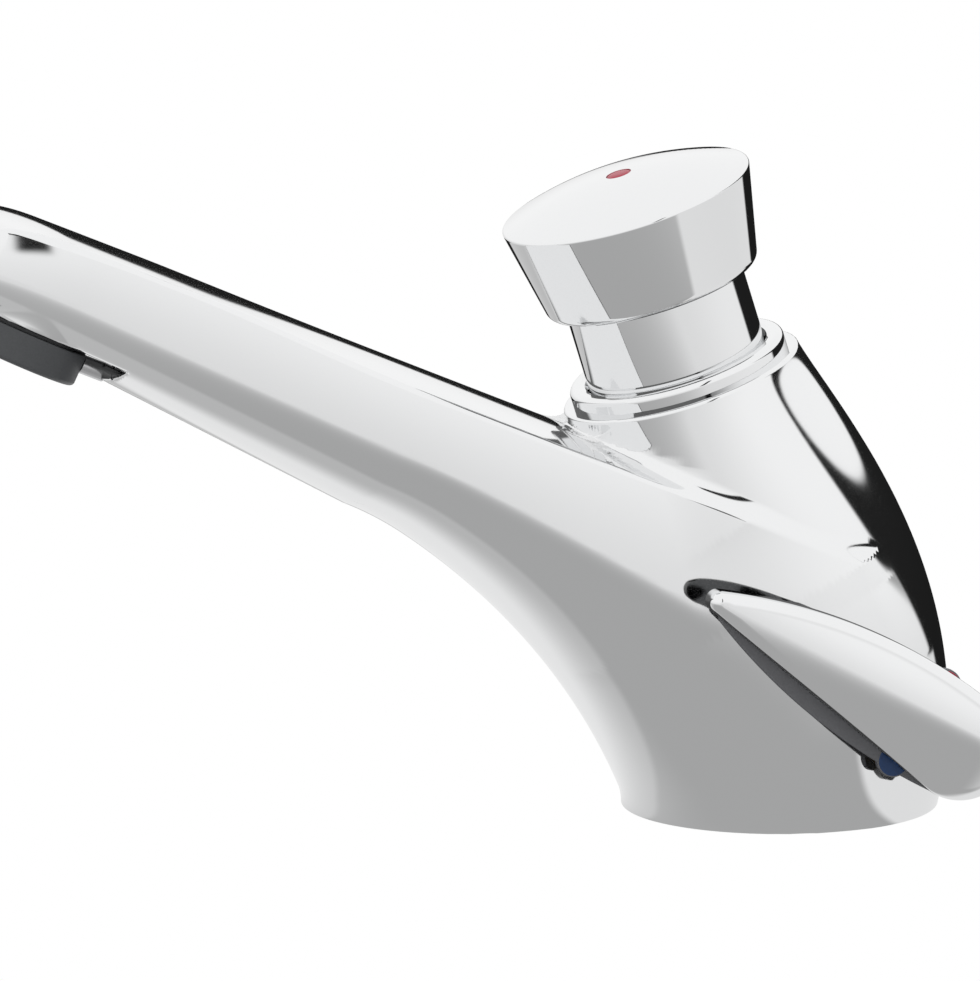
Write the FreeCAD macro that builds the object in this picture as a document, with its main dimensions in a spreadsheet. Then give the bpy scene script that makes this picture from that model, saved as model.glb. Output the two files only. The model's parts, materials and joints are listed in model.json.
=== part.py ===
"""Push timed tap: a basin tap whose tilted head is pressed once and closes by itself.

The frame: +Z up, origin in the middle of the round base on the deck, spout towards -X, lever on the
-Y side. Millimetres and degrees.
"""
import FreeCAD, Part
import math
import os
import Sketcher

os.makedirs("parts", exist_ok=True)
doc = FreeCAD.newDocument("push_timed_tap")

# Driving dimensions: name, value, what it is
DIMENSIONS = [
    ("base_radius", 25.0, "foot of the casting on the deck"),
    ("rim_radius", 19.2, "top rim of the casting round the collar"),
    ("head_tilt", 17.2, "lean of the head's axis towards the user"),
    ("axis_foot", 5.2, "where the head's axis meets the deck, behind the origin"),
    ("rim_height", 73.0, "rim, measured along the head's axis from the deck"),
    ("tower_bulge_rear", 3.1, "fullness of the back of the casting"),
    ("tower_bulge_side", 1.9, "fullness of the sides of the casting"),
    ("bend_reach", 95.0, "centre of the spout's sweep, in front of the origin"),
    ("spout_rise", 23.5, "rise of the straight part of the spout"),
    ("crown_offset", 81.2, "from the sweep's centre to the spout's top line"),
    ("throat_offset", 57.3, "from the sweep's centre to the spout's underside"),
    ("root_inset", 0.8, "how far the spout's foot lies inside the base circle"),
    ("straight_length", 76.0, "length of the straight part of the spout"),
    ("spout_half_width_root", 18.8, "half width where the straight part starts"),
    ("spout_half_width_tip", 14.0, "half width at the nose"),
    ("belly_rise", 7.3, "how far the underside closes in on the top line by the nose"),
    ("nose_drop", 3.0, "how far the top line falls at the nose"),
    ("nose_round", 4.5, "rounding of the nose"),
    ("crown_root", 1.95, "crown of the spout's top face at the head"),
    ("crown_tip", 0.65, "crown of the spout's top face at the nose"),
    ("outlet_face", 64.9, "from the sweep's centre to the face the aerator seats on"),
    ("outlet_step", 44.5, "start of that face along the spout"),
    ("outlet_station", 60.4, "aerator's axis along the spout"),
    ("aerator_lean", 25.3, "lean of the aerator's axis, mouth forwards"),
    ("aerator_radius", 12.0, "aerator's visible ring"),
    ("aerator_stand", 5.4, "how far the ring stands out of the spout"),
    ("aerator_thread_radius", 10.8, "threaded neck of the aerator"),
    ("aerator_thread_length", 6.0, "length of that neck"),
    ("aerator_bore_radius", 9.0, "water way of the aerator"),
    ("aerator_screen_thickness", 3.0, "flow straightener"),
    ("screen_hole_radius", 0.9, "holes of the flow straightener"),
    ("aerator_seal_thickness", 1.5, "flat seal above the aerator"),
    ("lock_screw_radius", 1.5, "grub screw behind the aerator"),
    ("lock_screw_length", 7.6, "its length"),
    ("waterway_radius", 4.5, "channel along the spout"),
    ("waterway_offset", 72.6, "from the sweep's centre to that channel"),
    ("counterbore_radius", 15.6, "thread of the head, seen as a plain bore"),
    ("counterbore_depth", 10.0, "depth of that thread"),
    ("cartridge_bore_radius", 13.0, "seat of the timing cartridge"),
    ("cartridge_reach", 41.0, "bottom of the cartridge's seat, below the rim"),
    ("mixing_chamber_radius", 9.0, "chamber under the cartridge"),
    ("mixing_chamber_depth", 13.0, "depth of that chamber"),
    ("seat_clearance", 0.05, "radial play of the pieces that stay put"),
    ("running_clearance", 0.06, "radial play of the pieces that slide or turn"),
    ("gasket_inset", 2.4, "ring groove under the base, inside its edge"),
    ("gasket_width", 4.0, "width of that groove"),
    ("gasket_thickness", 1.6, "gasket, flush with the base"),
    ("collar_radius", 17.5, "collar ring's lip"),
    ("collar_height", 2.8, "lip above the rim"),
    ("collar_lip_round", 1.0, "rounding of the lip"),
    ("sleeve_radius", 14.4, "fixed neck under the button"),
    ("sleeve_wall", 1.1, "wall of the neck"),
    ("sleeve_depth", 3.0, "how deep the neck sits in the collar"),
    ("sleeve_height", 17.5, "neck above the rim"),
    ("cartridge_flange_thickness", 2.0, "flange clamped by the collar"),
    ("cartridge_barrel_radius", 12.2, "barrel inside the neck"),
    ("cartridge_stand", 9.5, "top of the barrel, above the rim"),
    ("chamber_radius", 9.5, "timing chamber"),
    ("chamber_floor", 14.0, "bottom of the timing chamber, above the seat"),
    ("chamber_roof", 3.0, "roof that guides the stem"),
    ("port_radius", 2.4, "outlet ports of the cartridge"),
    ("port_rise", 9.0, "ports above the bottom of the chamber"),
    ("port_count", 4, "number of ports"),
    ("oring_wire_radius", 1.0, "section of the cartridge's O-rings"),
    ("oring_rise", 5.0, "lower O-ring above the bottom of the cartridge"),
    ("oring_drop", 2.2, "upper O-ring below the cartridge's shoulder"),
    ("seat_radius", 7.0, "valve seat insert"),
    ("seat_bore_radius", 4.6, "water way through the seat"),
    ("seat_length", 5.0, "valve seat insert"),
    ("washer_radius", 6.2, "washer that closes on the seat"),
    ("washer_thickness", 2.6, "thickness of that washer"),
    ("washer_cup_depth", 1.6, "cup at the stem's foot that carries the washer"),
    ("stem_radius", 2.6, "stem between button and washer"),
    ("piston_thickness", 7.0, "timing piston"),
    ("piston_drop", 1.0, "top of the timing piston, below the rim"),
    ("lip_seal_radius", 1.0, "section of the piston's lip seal"),
    ("spring_wire_radius", 0.6, "return spring"),
    ("spring_mean_radius", 6.4, "return spring"),
    ("spring_turns", 5, "turns of the return spring"),
    ("button_top_radius", 20.3, "button's upper rim"),
    ("button_low_radius", 17.1, "button's lower rim"),
    ("button_rise", 14.9, "button's lower rim, above the casting's rim"),
    ("button_height", 15.6, "from the button's lower to its upper rim"),
    ("button_dome", 3.8, "dome of the button's top"),
    ("button_wall", 1.8, "wall of the button"),
    ("button_top_thickness", 3.0, "top plate of the button"),
    ("button_lip_round", 1.6, "rounding of the lower rim"),
    ("button_edge_round", 0.5, "rounding of the upper rim"),
    ("button_boss_radius", 6.0, "boss that takes the stem"),
    ("button_boss_length", 6.0, "length of that boss"),
    ("button_gap", 0.35, "gap between button and neck"),
    ("nut_radius", 5.0, "nut under the boss"),
    ("nut_thickness", 2.4, "thickness of that nut"),
    ("mark_radius", 2.0, "round insert in the top of the button"),
    ("mark_depth", 1.2, "depth of that insert"),
    ("pivot_reach", 15.3, "lever's axis, behind the origin"),
    ("pivot_height", 17.0, "lever's axis, above the deck"),
    ("boss_radius", 9.0, "boss on the side of the casting"),
    ("boss_inset", 2.0, "face of that boss, inside the radius of the base"),
    ("spindle_radius", 3.0, "mixing spindle"),
    ("spindle_head_radius", 6.0, "valve end of the mixing spindle"),
    ("spindle_head_length", 13.0, "valve end of the mixing spindle"),
    ("spindle_chamber_end", 12.0, "far end of the spindle's chamber, from the middle plane"),
    ("spindle_way_radius", 2.2, "water way through the spindle's valve end"),
    ("spindle_end_radius", 2.4, "end of the spindle inside the lever"),
    ("bush_radius", 7.0, "bush in the casting"),
    ("bush_depth", 11.0, "how deep the bush sits in the casting"),
    ("bush_flange_radius", 8.4, "flange of the bush"),
    ("bush_flange_thickness", 2.6, "flange of the bush"),
    ("bush_spigot_radius", 3.85, "spigot that carries the index plate"),
    ("spindle_oring_radius", 0.55, "section of the spindle's O-rings"),
    ("plate_thickness", 1.6, "index plate behind the lever"),
    ("plate_tip_share", 0.93, "length of the index plate against the lever's"),
    ("plate_belly_radius", 105.0, "sweep of the index plate's lower edge"),
    ("lever_gap", 0.35, "gap between lever and index plate"),
    ("lever_thickness", 4.8, "lever"),
    ("lever_end_radius", 8.5, "round end of the lever"),
    ("lever_end_back", 5.9, "round end's centre behind the pivot"),
    ("lever_end_drop", 3.5, "round end's centre below the pivot"),
    ("lever_tip_radius", 1.8, "tip of the lever"),
    ("lever_tip_reach", 33.8, "tip's centre in front of the pivot"),
    ("lever_tip_rise", 22.0, "tip's centre above the pivot"),
    ("lever_back_radius", 95.0, "sweep of the lever's upper edge"),
    ("lever_belly_radius", 2500.0, "sweep of the lever's lower edge, almost straight"),
    ("lever_round", 1.9, "rounding of the lever's face"),
    ("lever_crown_radius", 24.0, "crown of the lever's face, across its line"),
    ("lever_crown_aside", 1.2, "middle of that crown, above the lever's line"),
    ("lever_screw_radius", 1.2, "grub screw in the lever's end"),
    ("lever_screw_length", 5.0, "its length"),
    ("index_mark_radius", 2.6, "round marks of the index plate"),
    ("index_mark_depth", 1.0, "depth of those marks"),
    ("index_mark_spread", 6.75, "marks to each side of the lever's line"),
    ("index_mark_rim", 0.3, "plate left round a mark"),
    ("inlet_radius", 4.5, "hot and cold inlets, M10x1"),
    ("inlet_depth", 10.5, "depth of the inlets"),
    ("inlet_way_radius", 2.5, "way from an inlet up to the spindle's chamber"),
    ("inlet_reach", 10.5, "inlets behind the origin"),
    ("inlet_spread", 7.0, "inlets to each side"),
    ("stud_radius", 3.4, "fixing stud hole, M8"),
    ("stud_depth", 14.0, "depth of that hole"),
    ("stud_reach", 12.0, "fixing stud in front of the origin"),
]

sheet = doc.addObject("Spreadsheet::Sheet", "Sizes")
for row, (alias, value, note) in enumerate(DIMENSIONS, start=1):
    sheet.set(f"A{row}", note)
    sheet.set(f"B{row}", str(value))
    sheet.setAlias(f"B{row}", alias)
doc.recompute()


class Size:
    """A number kept together with the sheet expression that gives it."""

    def __init__(self, value, text):
        self.value = float(value)
        self.text = text

    @staticmethod
    def of(other):
        return other if isinstance(other, Size) else Size(other, repr(float(other)))

    def join(self, other, sign, value):
        return Size(value, f"({self.text} {sign} {other.text})")

    def __add__(self, other):
        other = Size.of(other)
        return self.join(other, "+", self.value + other.value)

    def __sub__(self, other):
        other = Size.of(other)
        return self.join(other, "-", self.value - other.value)

    def __mul__(self, other):
        other = Size.of(other)
        return self.join(other, "*", self.value * other.value)

    def __truediv__(self, other):
        other = Size.of(other)
        return self.join(other, "/", self.value / other.value)

    def __neg__(self):
        return Size.of(0) - self


class Sizes:
    """The sheet's named dimensions, read as attributes."""

    def __getattr__(self, alias):
        return Size(sheet.get(alias), f"Sizes.{alias}")


size = Sizes()


def bind(thing, prop, amount):
    """Set a property from the sheet, now and after any later change."""
    thing.setExpression(prop, Size.of(amount).text)


def vec(x, y, z):
    return FreeCAD.Vector(x, y, z)


# Frames of the pieces

def on_head_axis(thing):
    """Stand a piece on the tilted axis of the head."""
    thing.Placement = FreeCAD.Placement(vec(size.axis_foot.value, 0, 0),
                                        FreeCAD.Rotation(vec(0, 1, 0), -size.head_tilt.value))
    bind(thing, ".Placement.Base.x", size.axis_foot)
    bind(thing, ".Placement.Rotation.Angle", -size.head_tilt)


def on_spindle_axis(thing):
    """Lay a piece on the lever's axis, its own Z pointing out of the casting's -Y side."""
    thing.Placement = FreeCAD.Placement(vec(size.pivot_reach.value, 0, size.pivot_height.value),
                                        FreeCAD.Rotation(vec(1, 0, 0), 90))
    bind(thing, ".Placement.Base.x", size.pivot_reach)
    bind(thing, ".Placement.Base.z", size.pivot_height)


def off_spindle_axis(thing, place):
    """Lay a piece square to the lever's axis, at a place given in the lever's own plane."""
    thing.Placement = FreeCAD.Placement(
        vec(size.pivot_reach.value + place.x, -place.z, size.pivot_height.value + place.y),
        FreeCAD.Rotation(vec(1, 0, 0), 90))


def spout_point(along, offset):
    """A point of the straight spout: along it, and at an offset from the sweep's centre."""
    rise = math.radians(size.spout_rise.value)
    return vec(-size.bend_reach.value - along * math.cos(rise) + offset * math.sin(rise), 0,
               along * math.sin(rise) + offset * math.cos(rise))


def on_aerator_axis(thing):
    """Hang a piece on the aerator's axis: its Z points up into the spout from the seating face."""
    base = spout_point(size.outlet_station.value, size.outlet_face.value)
    thing.Placement = FreeCAD.Placement(base, FreeCAD.Rotation(vec(0, 1, 0), size.aerator_lean.value))


# Ways of making a piece

def turned(name, profile, place=None):
    """A turned piece: a closed outline of (radius, height) points, revolved about its own Z."""
    body = doc.addObject("PartDesign::Body", name)
    body.Label = name
    sketch = body.newObject("Sketcher::SketchObject", name + "_outline")
    plane = [item for item in body.Origin.OriginFeatures if item.Role == "XZ_Plane"][0]
    sketch.AttachmentSupport = [(plane, "")]
    sketch.MapMode = "FlatFace"
    points = [(Size.of(radius), Size.of(height)) for radius, height in profile]
    for index, (radius, height) in enumerate(points):
        after_radius, after_height = points[(index + 1) % len(points)]
        sketch.addGeometry(Part.LineSegment(vec(radius.value, height.value, 0),
                                            vec(after_radius.value, after_height.value, 0)))
    for index, (radius, height) in enumerate(points):
        before = (index - 1) % len(points)
        sketch.addConstraint(Sketcher.Constraint("Coincident", before, 2, index, 1))
        for kind, axis, amount in (("DistanceX", -2, radius), ("DistanceY", -1, height)):
            if amount.text == "0.0":
                sketch.addConstraint(Sketcher.Constraint("PointOnObject", index, 1, axis))
            else:
                number = sketch.addConstraint(Sketcher.Constraint(kind, -1, 1, index, 1, amount.value))
                sketch.setExpression(f"Constraints[{number}]", amount.text)
    turn = body.newObject("PartDesign::Revolution", name + "_turn")
    turn.Profile = sketch
    turn.ReferenceAxis = (sketch, ["V_Axis"])
    turn.Angle = 360
    body.Tip = turn
    if place:
        place(body)
    doc.recompute()
    return body


def round_circles(body, rings, radius):
    """Round the circular edges of a turned piece that lie at the given (radius, height) places."""
    solid = body.Tip
    names = []
    for index, edge in enumerate(solid.Shape.Edges, start=1):
        if not isinstance(edge.Curve, Part.Circle):
            continue
        centre = edge.Curve.Center
        for ring_radius, ring_height in rings:
            near = abs(edge.Curve.Radius - Size.of(ring_radius).value) < 0.01
            if near and abs(centre.z - Size.of(ring_height).value) < 0.01:
                names.append(f"Edge{index}")
    rounding = body.newObject("PartDesign::Fillet", body.Name + "_rounding")
    rounding.Base = (solid, names)
    bind(rounding, "Radius", radius)
    body.Tip = rounding
    doc.recompute()
    return rounding


def cylinder(name, radius, length, placement):
    """A plain cylinder, used as a bore, a boss or a passage."""
    piece = doc.addObject("Part::Cylinder", name)
    bind(piece, "Radius", radius)
    bind(piece, "Height", length)
    piece.Placement = placement
    return piece


def facing(start, direction):
    """The placement that turns +Z towards a direction, at a start point."""
    return FreeCAD.Placement(start, FreeCAD.Rotation(vec(0, 0, 1), direction))


def fuse(name, pieces):
    joined = doc.addObject("Part::MultiFuse", name)
    joined.Shapes = pieces
    joined.Refine = True
    return joined


def cut(name, base, tool):
    less = doc.addObject("Part::Cut", name)
    less.Base = base
    less.Tool = tool
    return less


def torus(name, mean_radius, wire_radius, height, place):
    """An O-ring."""
    body = doc.addObject("PartDesign::Body", name)
    body.Label = name
    ring = body.newObject("PartDesign::AdditiveTorus", name + "_ring")
    plane = [item for item in body.Origin.OriginFeatures if item.Role == "XY_Plane"][0]
    ring.AttachmentSupport = [(plane, "")]
    ring.MapMode = "FlatFace"
    bind(ring, "Radius1", mean_radius)
    bind(ring, "Radius2", wire_radius)
    bind(ring, ".AttachmentOffset.Base.z", height)
    place(body)
    doc.recompute()
    return body


# Heights along the head's axis, all hung from the casting's rim

shoulder = size.rim_height - size.counterbore_depth
cartridge_bottom = size.rim_height - size.cartridge_reach
cartridge_top = size.rim_height + size.cartridge_stand
mixing_chamber_bottom = cartridge_bottom - size.mixing_chamber_depth
chamber_bottom = cartridge_bottom + size.chamber_floor
port_height = chamber_bottom + size.port_rise
oring_low = cartridge_bottom + size.oring_rise
oring_high = shoulder - size.oring_drop
piston_top = size.rim_height - size.piston_drop
button_low = size.rim_height + size.button_rise
button_high = button_low + size.button_height
boss_face = size.base_radius - size.boss_inset
gasket_outer = size.base_radius - size.gasket_inset
gasket_inner = gasket_outer - size.gasket_width

# Casting: the tower from the base up to the rim

tilt = math.radians(size.head_tilt.value)
head_direction = vec(-math.sin(tilt), 0, math.cos(tilt))
rim_centre = vec(size.axis_foot.value, 0, 0) + head_direction * size.rim_height.value
hinge_reach = rim_centre.x - rim_centre.z / math.tan(tilt)
rim_distance = math.hypot(rim_centre.x - hinge_reach, rim_centre.z)
TOWER_STEPS = 6
BULGE_POWER = 1.4
BULGE_PEAK = (1 / (1 + BULGE_POWER)) * (BULGE_POWER / (1 + BULGE_POWER)) ** BULGE_POWER


def tower_section(step):
    """One ring of the tower, on a plane of the fan that turns from the deck to the rim."""
    share = step / TOWER_STEPS
    bulge = share * (1 - share) ** BULGE_POWER / BULGE_PEAK
    plain = size.base_radius.value + (size.rim_radius.value - size.base_radius.value) * share
    depth = plain + size.tower_bulge_rear.value * bulge
    width = plain + size.tower_bulge_side.value * bulge
    base_front = -hinge_reach - size.base_radius.value
    rim_front = rim_distance - size.rim_radius.value
    centre = base_front + (rim_front - base_front) * share + depth
    angle = tilt * share
    if depth - width < 1e-6:
        ring = doc.addObject("Part::Circle", f"tower_ring_{step}")
        ring.Radius = depth
    else:
        ring = doc.addObject("Part::Ellipse", f"tower_ring_{step}")
        ring.MajorRadius = depth
        ring.MinorRadius = width
    ring.Placement = FreeCAD.Placement(
        vec(hinge_reach + centre * math.cos(angle), 0, centre * math.sin(angle)),
        FreeCAD.Rotation(vec(0, 1, 0), -math.degrees(angle)))
    return ring


tower = doc.addObject("Part::Loft", "tower")
tower.Sections = [tower_section(step) for step in range(TOWER_STEPS + 1)]
tower.Solid = True

# Casting: the horn of the spout, from the foot of the tower to the nose

BEND_ANGLES = (0, 8, 16, 24, 32, 40, 48, 57)
STRAIGHT_SHARES = (0.0, 0.2, 0.4, 0.6, 0.8, 0.9, 1.0)
FLAT_ANGLE = 55.0
ROOT_FALL = 6.0
ROOT_FALL_ANGLE = 20.0
CREASE_SHARE = 0.96
ROOT_CREASE_FALL = 0.36
CREASE_ANGLE = 31.0
CROWN_FADE = 0.55


def ellipse_arc(centre_up, half_width, half_height, start, end):
    """An arc of an ellipse in the section's own plane: across is its X, up is its Y."""
    major, minor = max(half_width, half_height), min(half_width, half_height)
    curve = Part.Ellipse(vec(0, centre_up, 0), major, minor)
    if half_height > half_width:
        curve.rotate(FreeCAD.Placement(vec(0, centre_up, 0), FreeCAD.Rotation(vec(0, 0, 1), 90)))
        start, end = start - math.pi / 2, end - math.pi / 2
    return curve.toShape(start, end)


def horn_outline(half_width, height, crease_share, crown):
    """Closed section of the spout: half-round below, slightly leaning walls, a crowned top."""
    middle = height / 2
    crease_up = height - crown
    crease_across = half_width * crease_share
    wall = (crease_up - middle) / math.sqrt(1 - crease_share ** 2)
    angle = math.asin((crease_up - middle) / wall)
    low = ellipse_arc(middle, half_width, middle, math.pi, 2 * math.pi)
    right = ellipse_arc(middle, half_width, wall, 0, angle)
    top = Part.Arc(vec(crease_across, crease_up, 0), vec(0, height, 0),
                   vec(-crease_across, crease_up, 0)).toShape()
    left = ellipse_arc(middle, half_width, wall, math.pi - angle, math.pi)
    return Part.Wire(Part.__sortEdges__([low, right, top, left]))


def on_fan(wire, name, angle, start):
    """Stand a section up in its plane: across is Y, up runs away from the sweep's centre."""
    along = vec(math.cos(angle), 0, math.sin(angle))
    turn = FreeCAD.Rotation(vec(0, 1, 0), along, along.cross(vec(0, -1, 0)), "XYZ")
    section = doc.addObject("Part::Feature", name)
    section.Shape = wire
    section.Placement = FreeCAD.Placement(start, turn)
    return section


def horn_sections():
    """Sections round the bend, then along the straight part."""
    sections = []
    sweep_centre = vec(-size.bend_reach.value, 0, 0)
    straight_angle = 90 - size.spout_rise.value
    root_radius = size.base_radius.value - size.root_inset.value
    front = size.bend_reach.value - root_radius
    for number, degrees in enumerate(BEND_ANGLES):
        share = degrees / straight_angle
        belly = max(0.0, 1 - degrees / FLAT_ANGLE) ** 2
        inner = size.throat_offset.value + (front - size.throat_offset.value) * belly
        crown_line = size.crown_offset.value / math.cos(math.radians(straight_angle - degrees))
        fall = ROOT_FALL * min(1.0, degrees / ROOT_FALL_ANGLE) ** 2
        hidden = size.bend_reach.value + root_radius - fall
        outer = min(crown_line, hidden)
        half_width = root_radius + (size.spout_half_width_root.value - root_radius) * share
        crease = CREASE_SHARE - ROOT_CREASE_FALL * (1 - min(1.0, degrees / CREASE_ANGLE))
        crown = (1 - crease) * root_radius / 2
        crown = max(crown, size.crown_root.value)
        angle = math.radians(degrees)
        start = sweep_centre + vec(math.cos(angle), 0, math.sin(angle)) * inner
        wire = horn_outline(half_width, outer - inner, crease, crown)
        sections.append(on_fan(wire, f"horn_bend_{number}", angle, start))
    angle = math.radians(straight_angle)
    for number, share in enumerate(STRAIGHT_SHARES):
        along = size.straight_length.value * share
        inner = size.throat_offset.value + size.belly_rise.value * share
        drop = size.nose_drop.value * max(0.0, (share - 0.8) / 0.2) ** 2
        half_width = size.spout_half_width_root.value
        half_width += (size.spout_half_width_tip.value - half_width) * share
        height = size.crown_offset.value - drop - inner
        fade = min(1.0, share / CROWN_FADE)
        crown = size.crown_root.value + (size.crown_tip.value - size.crown_root.value) * fade ** 2 * (3 - 2 * fade)
        wire = horn_outline(half_width, height, CREASE_SHARE, crown)
        sections.append(on_fan(wire, f"horn_straight_{number}", angle, spout_point(along, inner)))
    return sections


horn = doc.addObject("Part::Loft", "horn")
horn.Sections = horn_sections()
horn.Solid = True
doc.recompute()


def end_edges(shape, far):
    """Edges of the nose: both ends of each edge lie on the last section."""
    numbers = []
    direction = spout_point(1, 0) - spout_point(0, 0)
    for index, edge in enumerate(shape.Edges, start=1):
        reaches = [(vertex.Point - spout_point(0, 0)).dot(direction) for vertex in edge.Vertexes]
        if min(reaches) > far - 0.01:
            numbers.append(index)
    return numbers


rounded_horn = doc.addObject("Part::Fillet", "rounded_horn")
rounded_horn.Base = horn
rounded_horn.Edges = [(index, size.nose_round.value, size.nose_round.value)
                      for index in end_edges(horn.Shape, size.straight_length.value)]

lever_side = vec(0, -1, 0)
pivot = vec(size.pivot_reach.value, 0, size.pivot_height.value)
side_boss = cylinder("side_boss", size.boss_radius, boss_face, facing(pivot, lever_side))
blank = fuse("blank", [tower, rounded_horn, side_boss])
doc.recompute()

# Casting: its bores and passages

head_placement = facing(vec(size.axis_foot.value, 0, 0), head_direction)


def head_bore(name, radius, low, high):
    """A bore on the head's axis between two heights."""
    low, high = Size.of(low), Size.of(high)
    bore = cylinder(name, radius, high - low, head_placement)
    bore.Placement = facing(vec(size.axis_foot.value, 0, 0) + head_direction * low.value, head_direction)
    return bore


CLEAR = 5.0
thread_bore = head_bore("thread_bore", size.counterbore_radius, shoulder, size.rim_height + CLEAR)
cartridge_bore = head_bore("cartridge_bore", size.cartridge_bore_radius, cartridge_bottom, shoulder)
mixing_bore = head_bore("mixing_bore", size.mixing_chamber_radius, mixing_chamber_bottom,
                        cartridge_bottom)
bush_bore = cylinder("bush_bore", size.bush_radius, size.bush_depth + CLEAR,
                     facing(pivot + lever_side * (boss_face - size.bush_depth).value, lever_side))
spot_face = cylinder("spot_face", size.bush_flange_radius + size.seat_clearance * 4, size.base_radius,
                     facing(pivot + lever_side * boss_face.value, lever_side))
spindle_bore = cylinder("spindle_bore", size.spindle_head_radius + size.running_clearance,
                        size.spindle_chamber_end + boss_face - size.bush_depth,
                        facing(pivot - lever_side * size.spindle_chamber_end.value, lever_side))
mixing_centre = vec(size.axis_foot.value, 0, 0) + head_direction * (
    (mixing_chamber_bottom + cartridge_bottom) / 2).value
link = mixing_centre - pivot
link_bore = cylinder("link_bore", size.stud_radius, link.Length, facing(pivot, link))
waterway_top = spout_point(size.outlet_station.value, size.waterway_offset.value)
waterway_direction = spout_point(0, 0) - spout_point(1, 0)
waterway_length = (rim_centre.x - waterway_top.x) / waterway_direction.x - size.cartridge_bore_radius.value / 2
waterway = cylinder("waterway", size.waterway_radius, waterway_length,
                    facing(waterway_top, waterway_direction))

socket_depth = size.aerator_thread_length + size.aerator_seal_thickness
socket = cylinder("aerator_socket", size.aerator_thread_radius + size.seat_clearance,
                  socket_depth + CLEAR, FreeCAD.Placement())
on_aerator_axis(socket)
socket.Placement.Base = socket.Placement.multVec(vec(0, 0, -CLEAR))

outlet_relief = doc.addObject("Part::Box", "outlet_relief")
bind(outlet_relief, "Length", size.straight_length)
bind(outlet_relief, "Width", size.base_radius * 2)
bind(outlet_relief, "Height", size.base_radius)
relief_start = spout_point(size.outlet_step.value, size.outlet_face.value)
relief_turn = FreeCAD.Rotation(vec(0, 1, 0), 180 + size.aerator_lean.value)
outlet_relief.Placement = FreeCAD.Placement(relief_start, relief_turn)
outlet_relief.Placement.Base = outlet_relief.Placement.multVec(vec(0, -size.base_radius.value, 0))

spout_direction = spout_point(1, 0) - spout_point(0, 0)
LOCK_SINK = 0.7
LOCK_GAP = 0.1
LOCK_OFFSET = size.outlet_face.value - size.lock_screw_radius.value - LOCK_SINK
heel = size.outlet_station.value - size.aerator_radius.value
lock_start = spout_point(heel - LOCK_GAP - size.lock_screw_length.value, LOCK_OFFSET)
lock_hole = cylinder("lock_hole", size.lock_screw_radius + size.seat_clearance, size.lock_screw_length,
                     facing(lock_start, spout_direction))

UP = vec(0, 0, 1)
on_deck = facing(vec(0, 0, 0), UP)
gasket_groove = cut("gasket_groove",
                    cylinder("groove_outer", gasket_outer, size.gasket_thickness, on_deck),
                    cylinder("groove_inner", gasket_inner, size.gasket_thickness, on_deck))
inlets = []
for side, sign in (("hot", 1), ("cold", -1)):
    inlet_place = facing(vec(size.inlet_reach.value, sign * size.inlet_spread.value, 0), UP)
    inlets.append(cylinder(f"inlet_{side}", size.inlet_radius, size.inlet_depth, inlet_place))
    inlets.append(cylinder(f"inlet_way_{side}", size.inlet_way_radius, size.pivot_height, inlet_place))
stud_hole = cylinder("stud_hole", size.stud_radius, size.stud_depth,
                     facing(vec(-size.stud_reach.value, 0, 0), UP))
bores = fuse("bores", [thread_bore, cartridge_bore, mixing_bore, bush_bore, spot_face, spindle_bore, link_bore,
                       waterway, socket, outlet_relief, lock_hole, gasket_groove, stud_hole] + inlets)
bores.Refine = False
tap_body = cut("tap_body", blank, bores)
tap_body.Label = "tap_body"
doc.recompute()

# Gasket, flush in its groove under the base

gasket = turned("base_gasket", [
    (gasket_inner + size.seat_clearance, 0),
    (gasket_outer - size.seat_clearance, 0),
    (gasket_outer - size.seat_clearance, size.gasket_thickness),
    (gasket_inner + size.seat_clearance, size.gasket_thickness)])

# Head: collar ring and fixed neck

collar_top = size.rim_height + size.collar_height
sleeve_foot = size.rim_height - size.sleeve_depth
flange_top = shoulder + size.cartridge_flange_thickness
sleeve_bore = size.sleeve_radius + size.seat_clearance
skirt_bore = size.cartridge_barrel_radius + size.seat_clearance
skirt_radius = size.counterbore_radius - size.seat_clearance
collar_ring = turned("collar_ring", [
    (skirt_bore, flange_top),
    (skirt_radius, flange_top),
    (skirt_radius, size.rim_height),
    (size.collar_radius, size.rim_height),
    (size.collar_radius, collar_top - size.collar_lip_round),
    (size.collar_radius - size.collar_lip_round, collar_top),
    (sleeve_bore, collar_top - size.collar_lip_round),
    (sleeve_bore, sleeve_foot),
    (skirt_bore, sleeve_foot)], on_head_axis)

sleeve_top = size.rim_height + size.sleeve_height
neck_sleeve = turned("neck_sleeve", [
    (size.sleeve_radius - size.sleeve_wall, sleeve_foot),
    (size.sleeve_radius, sleeve_foot),
    (size.sleeve_radius, sleeve_top),
    (size.sleeve_radius - size.sleeve_wall, sleeve_top)], on_head_axis)

# Timing cartridge, clamped under the collar

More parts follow.
